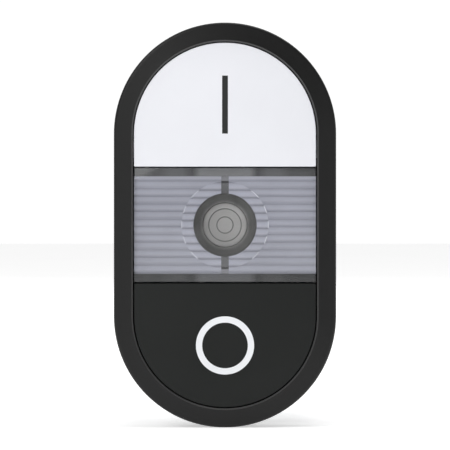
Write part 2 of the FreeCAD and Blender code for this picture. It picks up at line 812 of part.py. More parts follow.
def block_cover(label, right, turned):
    """The plate that closes a block's open side."""
    made = piece(label, right=right, turned=turned)
    inner = "block_height / 2 - block_wall - cover_fit"
    add(made, "-(room_end) + cover_fit", "-(room_front) - cover_fit",
        (box, "block_width / 2 - block_wall + cover_fit", "block_width / 2",
         "-(%s)" % inner, inner))


def screws(label, right, turned):
    """The two terminal screws: pan heads with a cross recess, driven from behind."""
    made = piece(label, right=right, turned=turned)
    head_end = "-(clamp_end) - screw_head_thick"
    head = add(made, head_end, "-(clamp_end)", (disc, "screw_head", "0", "screw_place"))
    both_ends(made, head)
    shank = add(made, "-(clamp_end)", "-strip_front + screw_tip",
                (disc, "screw_shank", "0", "screw_place"))
    both_ends(made, shank)
    for wide_size, high_size in (("cross_width", "cross_length"), ("cross_length", "cross_width")):
        recess = cut(made, head_end, head_end + " + cross_depth",
                     (wide, wide_size, "screw_place - %s / 2" % high_size,
                      "screw_place + %s / 2" % high_size))
        both_ends(made, recess)


def clamps(label, right, turned):
    """The two square washers under the screw heads."""
    made = piece(label, right=right, turned=turned)
    plate = add(made, "-(clamp_end)", "-(clamp_front)",
                (wide, "clamp_wide", "screw_place - clamp_wide / 2 + screw_fit",
                 "screw_place + clamp_wide / 2 - screw_fit"),
                (disc, "screw_shank + 2 * screw_fit", "0", "screw_place"))
    both_ends(made, plate)


def terminal_strips(label, right, turned, inner):
    """The two metal strips that the screws thread into, from the given inner end outwards."""
    made = piece(label, right=right, turned=turned)
    strip = add(made, "-(strip_end)", "-strip_front",
                (wide, "strip_wide", inner, "strip_outer"),
                (disc, "screw_shank + 2 * screw_fit", "0", "screw_place"))
    both_ends(made, strip)
    return made


def contact_tips(made, back, front):
    """Two round contact tips, one at each end."""
    tip = add(made, back, front, (disc, "tip_width", "0", "tip_place"))
    both_ends(made, tip)


def contact_block(side, right, turned, bridge, tips):
    """A contact block: housing, cover, stem, bridge, spring, strips, screws and clamps."""
    name = side + "_block_"
    block_housing(name + "housing", right, turned, stem_hole)
    block_cover(name + "cover", right, turned)
    strips = terminal_strips(name + "terminals", right, turned, "strip_inner")
    contact_tips(strips, *tips["fixed"])
    screws(name + "screws", right, turned)
    clamps(name + "clamps", right, turned)
    moving = piece(name + "bridge", right=right, turned=turned)
    add(moving, "-(%s) - strip_thick" % bridge, "-(%s)" % bridge,
        (wide, "bridge_width", "-bridge_length / 2", "bridge_length / 2"))
    contact_tips(moving, *tips["moving"])
    stem = piece(name + "stem", right=right, turned=turned)
    add(stem, "-carriage_end", "-(room_front) - stem_fit",
        (wide, "carriage_width", "-carriage_height / 2", "carriage_height / 2"))
    inward = "block_middle - stem_place"
    add(stem, "-(room_front) - stem_fit", "-(stem_front)",
        (box, "-(%s) - stem_width / 2" % inward, "-(%s) + stem_width / 2" % inward,
         "-stem_height / 2", "stem_height / 2"))
    cut(stem, "-(%s) - strip_thick" % bridge, "-(%s)" % bridge,
        (wide, "bridge_width", "-carriage_height", "carriage_height"))
    coil(name + "spring", "plunger_outer", "plunger_wire", "plunger_turns",
         "-(room_end)", "-carriage_end", right, "0", turned)


def lamp_block():
    """The lamp block: housing with its tower, cover, lamp, board, strips, screws and clamps."""
    block_housing("lamp_block_housing", "0", False, lamp_tower)
    block_cover("lamp_block_cover", "0", False)
    strips = terminal_strips("lamp_block_terminals", "0", False, "riser_place")
    riser = add(strips, "-strip_front", "-board_front - board_thick",
                (wide, "bridge_width", "riser_place", "riser_place + riser_thick"))
    both_ends(strips, riser)
    screws("lamp_block_screws", "0", False)
    clamps("lamp_block_clamps", "0", False)
    lamp = piece("lamp_block_led")
    add(lamp, "-lamp_seat", "-lamp_seat + lamp_flange_rise", (disc, "lamp_flange"))
    add(lamp, "-lamp_seat + lamp_flange_rise", "-lamp_front", (disc, "lamp_bulb"))
    break_edges(lamp, "Fillet", "lamp_bulb / 2 - lamp_flat", at("-lamp_front"))
    lead = add(lamp, "-board_front", "-lamp_seat",
               (wide, "lamp_lead", "lamp_lead_place - lamp_lead / 2",
                "lamp_lead_place + lamp_lead / 2"))
    both_ends(lamp, lead)
    board = piece("lamp_block_board")
    add(board, "-board_front - board_thick", "-board_front",
        (wide, "board_width", "-board_height / 2", "board_height / 2"))
    chip = add(board, "-board_front - board_thick - chip_rise", "-board_front - board_thick",
               (wide, "chip_width", "chip_place - chip_height / 2",
                "chip_place + chip_height / 2"))
    both_ends(board, chip)


def check_model():
    """Stop if an object failed, a piece isn't a valid solid, or a cut took nothing away."""
    doc.recompute()
    for item in doc.Objects:
        if {"Invalid", "Error"} & set(item.State):
            raise RuntimeError("%s failed: %s" % (item.Name, item.State))
        if item.TypeId in ("PartDesign::Pocket", "PartDesign::Groove"):
            if item.Shape.Volume > item.BaseFeature.Shape.Volume - 0.001:
                raise RuntimeError("%s cuts nothing" % item.Name)
    for node in nodes:
        if node.Shape.isNull() or not node.Shape.isValid() or not node.Shape.Solids:
            raise RuntimeError("%s is not a valid solid" % node.Label)


start_sign = [(wide, "bar_width", "symbol_place - bar_height / 2", "symbol_place + bar_height / 2")]
stop_sign = [(disc, "ring_outer", "0", "symbol_place"),
             (disc, "ring_outer - 2 * ring_width", "0", "symbol_place")]

front_bezel()
switch_housing()
panel_gasket()
indicator_lens()
light_guide()
for side, turned, sign in (("start", False, start_sign), ("stop", True, stop_sign)):
    button_cap(side + "_button", turned, sign)
    symbol_inlay(side + "_symbol", turned, sign)
    push_rod(side + "_push_rod", turned)
    wiper_seal(side + "_wiper_seal", turned)
    coil(side + "_return_spring", "coil_outer", "coil_wire", "coil_turns", "floor_front",
         "cap_inside", "0", "-coil_place" if turned else "coil_place")
ring_nut()
fixing_adapter()
lock_lever()
lever_pin()
contact_block("start", "-(block_middle)", True, "make_bridge", {
    "fixed": ("-strip_front", "-strip_front + tip_rise"),
    "moving": ("-(make_bridge) - strip_thick - tip_rise", "-(make_bridge) - strip_thick")})
contact_block("stop", "block_middle", False, "break_bridge", {
    "fixed": ("-(strip_end) - tip_rise", "-(strip_end)"),
    "moving": ("-(break_bridge)", "-(break_bridge) + tip_rise")})
lamp_block()

check_model()
os.makedirs("parts", exist_ok=True)
for node in nodes:
    node.Shape.exportStep("parts/%s.step" % node.Label)
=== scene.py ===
import math

import bmesh
import bpy
from mathutils import Matrix, Vector


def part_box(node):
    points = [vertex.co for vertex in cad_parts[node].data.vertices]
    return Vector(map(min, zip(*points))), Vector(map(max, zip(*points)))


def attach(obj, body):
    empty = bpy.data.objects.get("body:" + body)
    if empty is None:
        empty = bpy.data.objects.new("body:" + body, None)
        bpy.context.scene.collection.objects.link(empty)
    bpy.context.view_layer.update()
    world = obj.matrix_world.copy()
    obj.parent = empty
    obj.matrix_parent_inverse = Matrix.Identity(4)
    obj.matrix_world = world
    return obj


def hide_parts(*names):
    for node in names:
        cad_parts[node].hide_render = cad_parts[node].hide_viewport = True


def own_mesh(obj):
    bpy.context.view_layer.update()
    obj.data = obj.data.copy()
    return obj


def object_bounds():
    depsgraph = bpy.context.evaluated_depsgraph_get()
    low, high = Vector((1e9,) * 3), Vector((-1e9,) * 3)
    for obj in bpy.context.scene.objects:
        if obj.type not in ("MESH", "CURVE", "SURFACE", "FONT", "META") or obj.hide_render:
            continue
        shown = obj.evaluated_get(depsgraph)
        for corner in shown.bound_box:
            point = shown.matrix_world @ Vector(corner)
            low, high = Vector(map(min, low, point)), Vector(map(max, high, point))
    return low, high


bl_info = {
    "name": "Double pushbutton",
    "version": (1, 0, 0),
    "blender": (4, 5, 0),
    "location": "3D View > Sidebar > Pushbutton",
    "description": "Builds the looks of an illuminated double pushbutton around its packed frame",
    "category": "Object",
}

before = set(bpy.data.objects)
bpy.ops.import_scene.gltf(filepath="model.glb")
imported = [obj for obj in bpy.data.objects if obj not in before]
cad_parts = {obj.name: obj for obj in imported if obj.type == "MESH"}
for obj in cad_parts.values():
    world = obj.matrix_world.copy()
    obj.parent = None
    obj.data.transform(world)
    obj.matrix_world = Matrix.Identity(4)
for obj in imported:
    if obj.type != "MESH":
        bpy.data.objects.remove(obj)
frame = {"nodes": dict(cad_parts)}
CAD_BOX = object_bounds()

MM = 0.001
FULL_TURN = 2 * math.pi
HALF_TURN = math.pi
QUARTER_TURN = math.pi / 2
FRONT = Vector((0, -1, 0))  # out of the panel, towards the user
ARC_STEPS = 72  # steps of a half turn
MERGE = 0.002 * MM  # points nearer than this are one point

BEZEL_LOW, BEZEL_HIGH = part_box("front_bezel")
CAP_LOW, CAP_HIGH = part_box("start_button")
LENS_LOW, LENS_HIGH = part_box("indicator_lens")
GUIDE_LOW, GUIDE_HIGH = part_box("light_guide")


# ---------------------------------------------------------------- sizes and colours


class PushbuttonHead(bpy.types.PropertyGroup):
    """The parts that the user sees and touches."""

    rim: bpy.props.FloatProperty(
        name="Rim", description="Width of the frame around the caps",
        default=2.55 * MM, unit="LENGTH")
    rim_slope: bpy.props.FloatProperty(
        name="Rim slope", description="How far the frame's front falls away to its outer edge",
        default=0.25 * MM, unit="LENGTH")
    rim_round: bpy.props.FloatProperty(
        name="Rim rounding", description="Radius of the frame's outer front edge",
        default=0.45 * MM, unit="LENGTH")
    rim_chamfer: bpy.props.FloatProperty(
        name="Window chamfer", description="Chamfer of the frame's inner edge",
        default=0.2 * MM, unit="LENGTH")
    cap_bevel: bpy.props.FloatProperty(
        name="Cap bevel", description="Rounding of the caps' edges",
        default=0.26 * MM, unit="LENGTH")
    cap_wall: bpy.props.FloatProperty(
        name="Cap wall", description="Wall of the hollow caps",
        default=1.0 * MM, unit="LENGTH")
    rib_pitch: bpy.props.FloatProperty(
        name="Rib pitch", description="Distance between the lens's ribs",
        default=1.02 * MM, unit="LENGTH")
    rib_rise: bpy.props.FloatProperty(
        name="Rib height", description="How far each rib stands out",
        default=0.10 * MM, unit="LENGTH")
    band: bpy.props.FloatProperty(
        name="Smooth band", description="Height of the smooth band above and below the ribs",
        default=1.15 * MM, unit="LENGTH")


class PushbuttonColours(bpy.types.PropertyGroup):
    """The colours of the mouldings, as sRGB hex values."""

    frame: bpy.props.StringProperty(
        name="Frame", description="Colour of the frame", default="0C0C0C")
    # window edge colour: a painted highlight on the frame's window chamfer, not burnished wear
    window: bpy.props.StringProperty(
        name="Window edge", description="Colour of the frame's burnished inner edge",
        default="414141")
    start: bpy.props.StringProperty(
        name="Start cap", description="Colour of the start cap", default="E9EAEF")
    stop: bpy.props.StringProperty(
        name="Stop cap", description="Colour of the stop cap", default="1B1D1C")
    optic: bpy.props.StringProperty(
        name="Lens ribs", description="Tint of the ribbed lens", default="ADAFBB")
    block: bpy.props.StringProperty(
        name="Blocks", description="Colour of the block housings", default="A3A6A8")
    make: bpy.props.StringProperty(
        name="Make contact", description="Colour of the make block's cover", default="1F8A4C")
    broken: bpy.props.StringProperty(
        name="Break contact", description="Colour of the break block's cover", default="B5251F")


# ---------------------------------------------------------------- materials


def linear(hex_colour, level=1.0):
    """An sRGB hex colour as the linear colour that shaders work in, times a level."""
    parts = [int(hex_colour[i:i + 2], 16) / 255 for i in (0, 2, 4)]
    parts = [c / 12.92 if c <= 0.04045 else ((c + 0.055) / 1.055) ** 2.4 for c in parts]
    return (*[min(c * level, 1) for c in parts], 1.0)


def add_node(tree, kind, settings=None, links=None):
    """A node with its settings (attributes, input values or a ramp's stops) and its links."""
    node = tree.nodes.new(kind)
    for name, setting in (settings or {}).items():
        if name == "stops":
            for index, (position, colour) in enumerate(setting):
                elements = node.color_ramp.elements
                stop = elements[index] if index < 2 else elements.new(position)
                stop.position, stop.color = position, colour
        elif isinstance(name, str) and hasattr(node, name):
            setattr(node, name, setting)
        else:
            node.inputs[name].default_value = setting
    for name, source in (links or {}).items():
        tree.links.new(source, node.inputs[name])
    return node


def blank(name):
    """A new material and its empty tree."""
    material = bpy.data.materials.new(name)
    material.use_nodes = True
    material.node_tree.nodes.clear()
    return material, material.node_tree


def moulded(name, hex_colour, roughness, grain=0.35, depth=0.004, mottle=0.06, ior=1.5,
            level=0.5):
    """A moulded plastic: fine tool texture in bump and roughness, and a faint mottle of colour.

    grain and depth are in millimetres; a real spark-eroded skin is about 0.05 mm and is drawn
    coarser, so that it still shows.
    """
    material, tree = blank(name)
    place = add_node(tree, "ShaderNodeTexCoord")
    fine = add_node(tree, "ShaderNodeTexNoise",
                    {"Scale": 1 / (grain * MM), "Detail": 3.0, "Roughness": 0.6},
                    {"Vector": place.outputs["Object"]})
    cloud = add_node(tree, "ShaderNodeTexNoise", {"Scale": 1 / (9 * MM), "Detail": 2.0},
                     {"Vector": place.outputs["Object"]})
    tint = add_node(tree, "ShaderNodeValToRGB",
                    {"stops": [(0.3, linear(hex_colour, 1 - mottle)),
                               (0.7, linear(hex_colour, 1 + mottle))]},
                    {"Fac": cloud.outputs["Fac"]})
    dull = add_node(tree, "ShaderNodeMapRange",
                    {"From Min": 0.3, "From Max": 0.7, "To Min": roughness * 0.9,
                     "To Max": min(roughness * 1.12, 1)},
                    {"Value": fine.outputs["Fac"]})
    bump = add_node(tree, "ShaderNodeBump", {"Strength": 0.5, "Distance": depth * MM},
                    {"Height": fine.outputs["Fac"]})
    shader = add_node(tree, "ShaderNodeBsdfPrincipled",
                      {"IOR": ior, "Specular IOR Level": level},
                      {"Base Color": tint.outputs["Color"], "Roughness": dull.outputs["Result"],
                       "Normal": bump.outputs["Normal"]})
    add_node(tree, "ShaderNodeOutputMaterial", links={"Surface": shader.outputs["BSDF"]})
    return material


def window_polyamide_painted_highlight(name, hex_colour, highlight_colour, inner, chamfer):
    """The frame's satin polyamide, with a painted highlight on its window edge."""
    material = moulded(name, hex_colour, 0.38, level=0.32)
    tree = material.node_tree
    shader = tree.nodes["Principled BSDF"]
    # painted highlight: the chamfer and the window's wall take the lighter edge colour, which
    # fades out just beyond the chamfer
    place = add_node(tree, "ShaderNodeTexCoord")
    folded = add_node(tree, "ShaderNodeVectorMath", {"operation": "ABSOLUTE"},
                      {0: place.outputs["Object"]})
    beyond = add_node(tree, "ShaderNodeVectorMath",
                      {"operation": "SUBTRACT", 1: (0, 1, FRAME_CENTRE)},
                      {0: folded.outputs["Vector"]})
    from_line = add_node(tree, "ShaderNodeVectorMath", {"operation": "MAXIMUM"},
                         {0: beyond.outputs["Vector"]})
    away = add_node(tree, "ShaderNodeVectorMath", {"operation": "LENGTH"},
                    {0: from_line.outputs["Vector"]})
    share = add_node(tree, "ShaderNodeMapRange",
                     {"From Min": inner + 0.8 * chamfer, "From Max": inner + 1.1 * chamfer},
                     {"Value": away.outputs["Value"]})
    add_node(tree, "ShaderNodeMix", {"data_type": "RGBA", 6: linear(highlight_colour)},
             {0: share.outputs["Result"], 7: shader.inputs["Base Color"].links[0].from_socket})
    tree.links.new(tree.nodes["Mix"].outputs[2], shader.inputs["Base Color"])
    return material


def metal(name, hex_colour, roughness, grain=0.12, stretch=(1, 1, 1), depth=0.002, wear=0.12):
    """A metal with fine lines or pits, stretched along the way it was drawn, cast or rolled."""
    material, tree = blank(name)
    place = add_node(tree, "ShaderNodeTexCoord")
    along = add_node(tree, "ShaderNodeMapping", {"Scale": stretch},
                     {"Vector": place.outputs["Object"]})
    fine = add_node(tree, "ShaderNodeTexNoise",
                    {"Scale": 1 / (grain * MM), "Detail": 4.0, "Roughness": 0.65},
                    {"Vector": along.outputs["Vector"]})
    cloud = add_node(tree, "ShaderNodeTexNoise", {"Scale": 1 / (3 * MM), "Detail": 3.0},
                     {"Vector": place.outputs["Object"]})
    tint = add_node(tree, "ShaderNodeValToRGB",
                    {"stops": [(0.3, linear(hex_colour, 1 - wear)),
                               (0.7, linear(hex_colour, 1 + wear))]},
                    {"Fac": cloud.outputs["Fac"]})
    dull = add_node(tree, "ShaderNodeMapRange",
                    {"From Min": 0.3, "From Max": 0.7, "To Min": roughness * 0.75,
                     "To Max": roughness * 1.3},
                    {"Value": fine.outputs["Fac"]})
    bump = add_node(tree, "ShaderNodeBump", {"Strength": 0.6, "Distance": depth * MM},
                    {"Height": fine.outputs["Fac"]})
    shader = add_node(tree, "ShaderNodeBsdfPrincipled", {"Metallic": 1.0},
                      {"Base Color": tint.outputs["Color"], "Roughness": dull.outputs["Result"],
                       "Normal": bump.outputs["Normal"]})
    add_node(tree, "ShaderNodeOutputMaterial", links={"Surface": shader.outputs["BSDF"]})
    return material


# painted shade and highlight at each height of a pair of ribs, from a sharp valley up to the next
# sharp one
FIELD_PAINTED_SHADING = ((0.0, 0.66), (0.05, 0.72), (0.16, 0.98), (0.30, 1.0), (0.40, 0.94), (0.50, 0.76),
                (0.60, 0.80), (0.70, 0.96), (0.84, 1.0), (0.93, 0.95), (1.0, 0.66))
BOSS_PAINTED_SHADING = ((0.0, 0.56), (0.05, 0.72), (0.13, 1.04), (0.30, 1.10), (0.42, 1.03), (0.50, 0.60),
               (0.56, 0.72), (0.64, 1.03), (0.80, 1.10), (0.93, 1.0), (1.0, 0.56))


def prismatic_polycarbonate_painted_shade(name, hex_colour, pitch, valley, painted_shading):
    """Clear ribbed polycarbonate over a pale floor.

    Every second valley is painted as a sharp dark line, and the one between as a soft one, with
    painted highlight on the upper part of each rib and painted shade on its lower part.
    """
    material, tree = blank(name)
    place = add_node(tree, "ShaderNodeTexCoord")
    axes = add_node(tree, "ShaderNodeSeparateXYZ", links={"Vector": place.outputs["Object"]})
    turns = add_node(tree, "ShaderNodeMath",
                     {"operation": "MULTIPLY_ADD", 1: 0.5 / pitch, 2: 50 - 0.5 * valley / pitch},
                     {0: axes.outputs["Z"]})
    phase = add_node(tree, "ShaderNodeMath", {"operation": "FRACT"},
                     {0: turns.outputs["Value"]})
    shade = add_node(tree, "ShaderNodeValToRGB",
                     {"stops": [(height, linear(hex_colour, level)) for height, level in painted_shading]},
                     {"Fac": phase.outputs["Value"]})
    cloud = add_node(tree, "ShaderNodeTexNoise", {"Scale": 1 / (7 * MM), "Detail": 2.0},
                     {"Vector": place.outputs["Object"]})
    drift = add_node(tree, "ShaderNodeMapRange",
                     {"From Min": 0.3, "From Max": 0.7, "To Min": 0.94, "To Max": 1.06},
                     {"Value": cloud.outputs["Fac"]})
    mixed = add_node(tree, "ShaderNodeVectorMath", {"operation": "SCALE"},
                     {"Vector": shade.outputs["Color"], "Scale": drift.outputs["Result"]})
    shader = add_node(tree, "ShaderNodeBsdfPrincipled",
                      {"Roughness": 0.28, "IOR": 1.58, "Specular IOR Level": 0.35},
                      {"Base Color": mixed.outputs["Vector"]})
    add_node(tree, "ShaderNodeOutputMaterial", links={"Surface": shader.outputs["BSDF"]})
    return material


# what thin clear polycarbonate lets through: nearly all, and a hair more of the blue
CLEAR_TINT = (0.97, 0.97, 0.972, 1)


def clear_polycarbonate(name):
    """Polished clear polycarbonate in a thin wall: seen through, with a faint gloss."""
    material, tree = blank(name)
    through = add_node(tree, "ShaderNodeBsdfTransparent", {"Color": CLEAR_TINT})
    gloss = add_node(tree, "ShaderNodeBsdfGlossy", {"Roughness": 0.06})
    facing = add_node(tree, "ShaderNodeLayerWeight", {"Blend": 0.5})
    edge = add_node(tree, "ShaderNodeMapRange",
                    {"From Min": 0.35, "From Max": 1.0, "To Min": 0.02, "To Max": 0.45},
                    {"Value": facing.outputs["Facing"]})
    mixed = add_node(tree, "ShaderNodeMixShader",
                     links={0: edge.outputs["Result"], 1: through.outputs["BSDF"],
                            2: gloss.outputs["BSDF"]})
    add_node(tree, "ShaderNodeOutputMaterial", links={"Surface": mixed.outputs["Shader"]})
    return material


def graded_polycarbonate(name, along, near, far, stops, mirrored=True, gloss=None):
    """Smooth polycarbonate whose shade follows the distance along a line, on both sides or one.

    stops give the share of the way from near to far, and the colour there.
    """
    material, tree = blank(name)
    place = add_node(tree, "ShaderNodeTexCoord")
    measured = add_node(tree, "ShaderNodeVectorMath", {"operation": "DOT_PRODUCT", 1: along},
                        {0: place.outputs["Object"]})
    if mirrored:
        measured = add_node(tree, "ShaderNodeMath", {"operation": "ABSOLUTE"},
                            {0: measured.outputs["Value"]})
    share = add_node(tree, "ShaderNodeMapRange", {"From Min": near, "From Max": far},
                     {"Value": measured.outputs["Value"]})
    shade = add_node(tree, "ShaderNodeValToRGB",
                     {"stops": [(height, linear(colour)) for height, colour in stops]},
                     {"Fac": share.outputs["Result"]})
    shader = add_node(tree, "ShaderNodeBsdfPrincipled",
                      {"IOR": 1.58, **(gloss or {"Roughness": 0.3, "Specular IOR Level": 0.3})},
                      {"Base Color": shade.outputs["Color"]})
    add_node(tree, "ShaderNodeOutputMaterial", links={"Surface": shader.outputs["BSDF"]})
    return material


def band_with_painted_shadows(name, middle, spot, side, end):
    """A grey band of smooth polycarbonate, with a painted shadow of each clip's foot as a soft
    dark patch in the spot colour.
    """
    return graded_polycarbonate(
        name, (1, 0, 0), 0, 12.2 * MM,
        ((0.0, middle), (0.27, middle), (0.355, spot), (0.47, side), (0.58, side), (0.72, end),
         (1.0, end)))


def painted_glint_edge(name):
    """A cut and polished edge with a painted glint: lightest towards the upper right, and fainter
    elsewhere.
    """
    return graded_polycarbonate(
        name, (0.8, 0, 0.6), -6 * MM, 6 * MM,
        ((0.0, "E4E6EE"), (0.6, "D8DAE2"), (0.85, "EDEFF6")), mirrored=False,
        gloss={"Roughness": 0.12, "Coat Weight": 1.0})


def web_polycarbonate(name):
    """The smooth web: lighter outside the boss, darker on it, with a dark line at its edge."""
    return graded_polycarbonate(
        name, (0, 0, 1), 0, 8 * MM,
        ((0.52, "636466"), (0.69, "6F7072"), (0.712, "393A3B"), (0.728, "393A3B"),
         (0.745, "8E8F94"), (0.82, "88898E")))


def away_from_axis(tree, place):
    """The distance from the device's axis, as a socket."""
    flat = add_node(tree, "ShaderNodeVectorMath", {"operation": "MULTIPLY", 1: (1, 0, 1)},
                    {0: place.outputs["Object"]})
    length = add_node(tree, "ShaderNodeVectorMath", {"operation": "LENGTH"},
                      {0: flat.outputs["Vector"]})
    return length.outputs["Value"]


def funnel_plastic_painted_light(name):
    """The satin wall of the light funnel, with painted light near the rod, darker towards its
    mouth, and painted highlights on two opposite sides.
    """
    material, tree = blank(name)
    place = add_node(tree, "ShaderNodeTexCoord")
    away = away_from_axis(tree, place)
    share = add_node(tree, "ShaderNodeMapRange", {"From Max": 4.23 * MM}, {"Value": away})
    # painted light: lightest near the rod, darker towards the mouth
    shade = add_node(tree, "ShaderNodeValToRGB",
                     {"stops": [(0.71, linear("C8C8C7")), (0.755, linear("929292")),
                                (0.81, linear("6E6F6E")), (0.93, linear("656665")),
                                (1.0, linear("595A59"))]},
                     {"Fac": share.outputs["Result"]})
    # painted highlight on the two opposite sides that lie along this slant
    slant = add_node(tree, "ShaderNodeVectorMath",
                     {"operation": "DOT_PRODUCT", 1: (0.81, 0, 0.59)},
                     {0: place.outputs["Object"]})
    size = add_node(tree, "ShaderNodeMath", {"operation": "ABSOLUTE"},
                    {0: slant.outputs["Value"]})
    side = add_node(tree, "ShaderNodeMath", {"operation": "DIVIDE"},
                    {0: size.outputs["Value"], 1: away})
    painted_side_highlight = add_node(tree, "ShaderNodeMapRange",
                    {"From Min": 0.8, "From Max": 1.0, "To Min": 1.0, "To Max": 1.4},
                    {"Value": side.outputs["Value"]})
    mixed = add_node(tree, "ShaderNodeVectorMath", {"operation": "SCALE"},
                     {"Vector": shade.outputs["Color"], "Scale": painted_side_highlight.outputs["Result"]})
    shader = add_node(tree, "ShaderNodeBsdfPrincipled",
                      {"Roughness": 0.4, "Specular IOR Level": 0.3},
                      {"Base Color": mixed.outputs["Vector"]})
    add_node(tree, "ShaderNodeOutputMaterial", links={"Surface": shader.outputs["BSDF"]})
    return material


def frosted_acrylic(name):
    """The light guide's end: milky acrylic, with painted shade as a darker line at each of its
    two steps and a painted glow just inside its rim.
    """
    material, tree = blank(name)
    place = add_node(tree, "ShaderNodeTexCoord")
    away = away_from_axis(tree, place)
    share = add_node(tree, "ShaderNodeMapRange", {"From Max": 3 * MM}, {"Value": away})
    # line is the painted shade at the steps; rim is the painted glow near the edge
    line, pale, rim = linear("B2B2B0"), linear("EEEDEB"), linear("F8F7F5")
    shade = add_node(tree, "ShaderNodeValToRGB",
                     {"stops": [(0.0, pale), (0.335, pale), (0.352, line), (0.378, line),
                                (0.395, pale), (0.70, pale), (0.718, line), (0.744, line),
                                (0.762, rim), (0.95, rim), (1.0, linear("E6E5E3"))]},
                     {"Fac": share.outputs["Result"]})
    shader = add_node(tree, "ShaderNodeBsdfPrincipled",
                      {"Roughness": 0.45, "IOR": 1.49, "Specular IOR Level": 0.3},
                      {"Base Color": shade.outputs["Color"]})
    add_node(tree, "ShaderNodeOutputMaterial", links={"Surface": shader.outputs["BSDF"]})
    return material


def plastics(colours):
    """Colour, roughness and other settings of each moulding, by its real material and finish."""
    return {
        # ABS from a polished tool: clean white, nearly without grain
        "polished_abs_white": (colours.start, 0.38, {"depth": 0.002, "mottle": 0.012,
                                                     "level": 0.25}),
        # ABS from a lightly blasted tool: a quiet black, a little bluer than the frame
        "satin_abs_black": (colours.stop, 0.45, {"mottle": 0.04, "level": 0.2}),
        # ABS shot second into the white cap: dark grey, level with the cap
        "second_shot_abs_grey": ("2B2D2C", 0.5, {"mottle": 0.04, "level": 0.2}),
        # ABS shot second into the black cap: white, level with the cap
        "second_shot_abs_white": ("EEF0F3", 0.45, {"mottle": 0.01, "level": 0.25}),
        # polyamide straight from a spark-eroded tool: duller and grainier than the frame
        "eroded_polyamide": ("242424", 0.6, {"grain": 0.5, "depth": 0.012}),
        # glass-filled polyamide: matt, with short fibres that mottle the skin
        "glass_filled_polyamide": ("2A2A2C", 0.62, {"grain": 0.45, "depth": 0.015,
                                                    "mottle": 0.15}),
        # polyamide in signal orange, so that a hand finds the lever: even and slightly waxy
        "satin_polyamide_orange": ("D9651F", 0.42, {"depth": 0.005, "mottle": 0.04}),
        # polyamide covers and stems from a satin tool, in the contacts' usual colours
        "satin_polyamide_green": (colours.make, 0.45, {"depth": 0.006, "mottle": 0.05}),
        "satin_polyamide_red": (colours.broken, 0.45, {"depth": 0.006, "mottle": 0.05}),
        "satin_polyamide_white": ("E4E4E0", 0.45, {"depth": 0.006, "mottle": 0.02}),
        # polycarbonate from a lightly eroded tool: pale grey, faintly grained
        "eroded_polycarbonate_grey": (colours.block, 0.5, {"grain": 0.4, "depth": 0.008,
                                                           "mottle": 0.03}),
        # nitrile rubber sheet: matt, clouded by talc
        "nitrile_rubber": ("1C1C1D", 0.85, {"grain": 0.6, "depth": 0.02, "mottle": 0.2}),
        # moulded silicone: soft dark grey without gloss
        "silicone_rubber": ("3A3A3C", 0.7, {"grain": 0.5, "depth": 0.01, "mottle": 0.1}),
        # natural acetal from a polished tool: milky and waxy
        "natural_acetal": ("DDDCD2", 0.4, {"depth": 0.003, "mottle": 0.03}),
        # ink pressed on raised numbers and signs: dark or white, and flat
        "pad_printed_ink": ("3A3C3E", 0.5, {"depth": 0.002}),
        "pad_printed_ink_white": ("E6E6E2", 0.5, {"depth": 0.002, "mottle": 0.02}),
        # cast epoxy of a lamp body: milky with diffuser, glossy
        "cast_epoxy": ("D9DDE2", 0.12, {"depth": 0.001, "mottle": 0.02, "ior": 1.55}),
        # glass-fibre board under solder mask: green, with the weave just felt
        "solder_mask": ("1C6B3B", 0.3, {"grain": 0.8, "depth": 0.01, "mottle": 0.2}),
    }


METALS = {
    # hard-drawn spring wire: bright, with drawing lines
    "drawn_spring_steel": ("B9BBBD", 0.28, {"grain": 0.2, "depth": 0.004}),
    # zinc die casting, tumbled: soft grey metal with fine pits
    "tumbled_zinc": ("A9ABAE", 0.42, {"grain": 0.3, "depth": 0.008}),
    # ground dowel steel: bright, with fine lines along it
    "ground_steel": ("C2C4C6", 0.25, {"grain": 0.1, "stretch": (1, 8, 1)}),
    # stamped and tinned brass strip: dull silver with a warm cast
    "tinned_brass": ("C9C3B2", 0.35, {"grain": 0.15, "stretch": (1, 1, 6)}),
    # bare stamped brass: warm yellow with rolling lines
    "stamped_brass": ("D2A95A", 0.3, {"grain": 0.15, "stretch": (1, 1, 6)}),
    # steel with blue-passivated zinc: cool silver
    "passivated_zinc": ("BFC6CC", 0.3, {"grain": 0.2}),
}


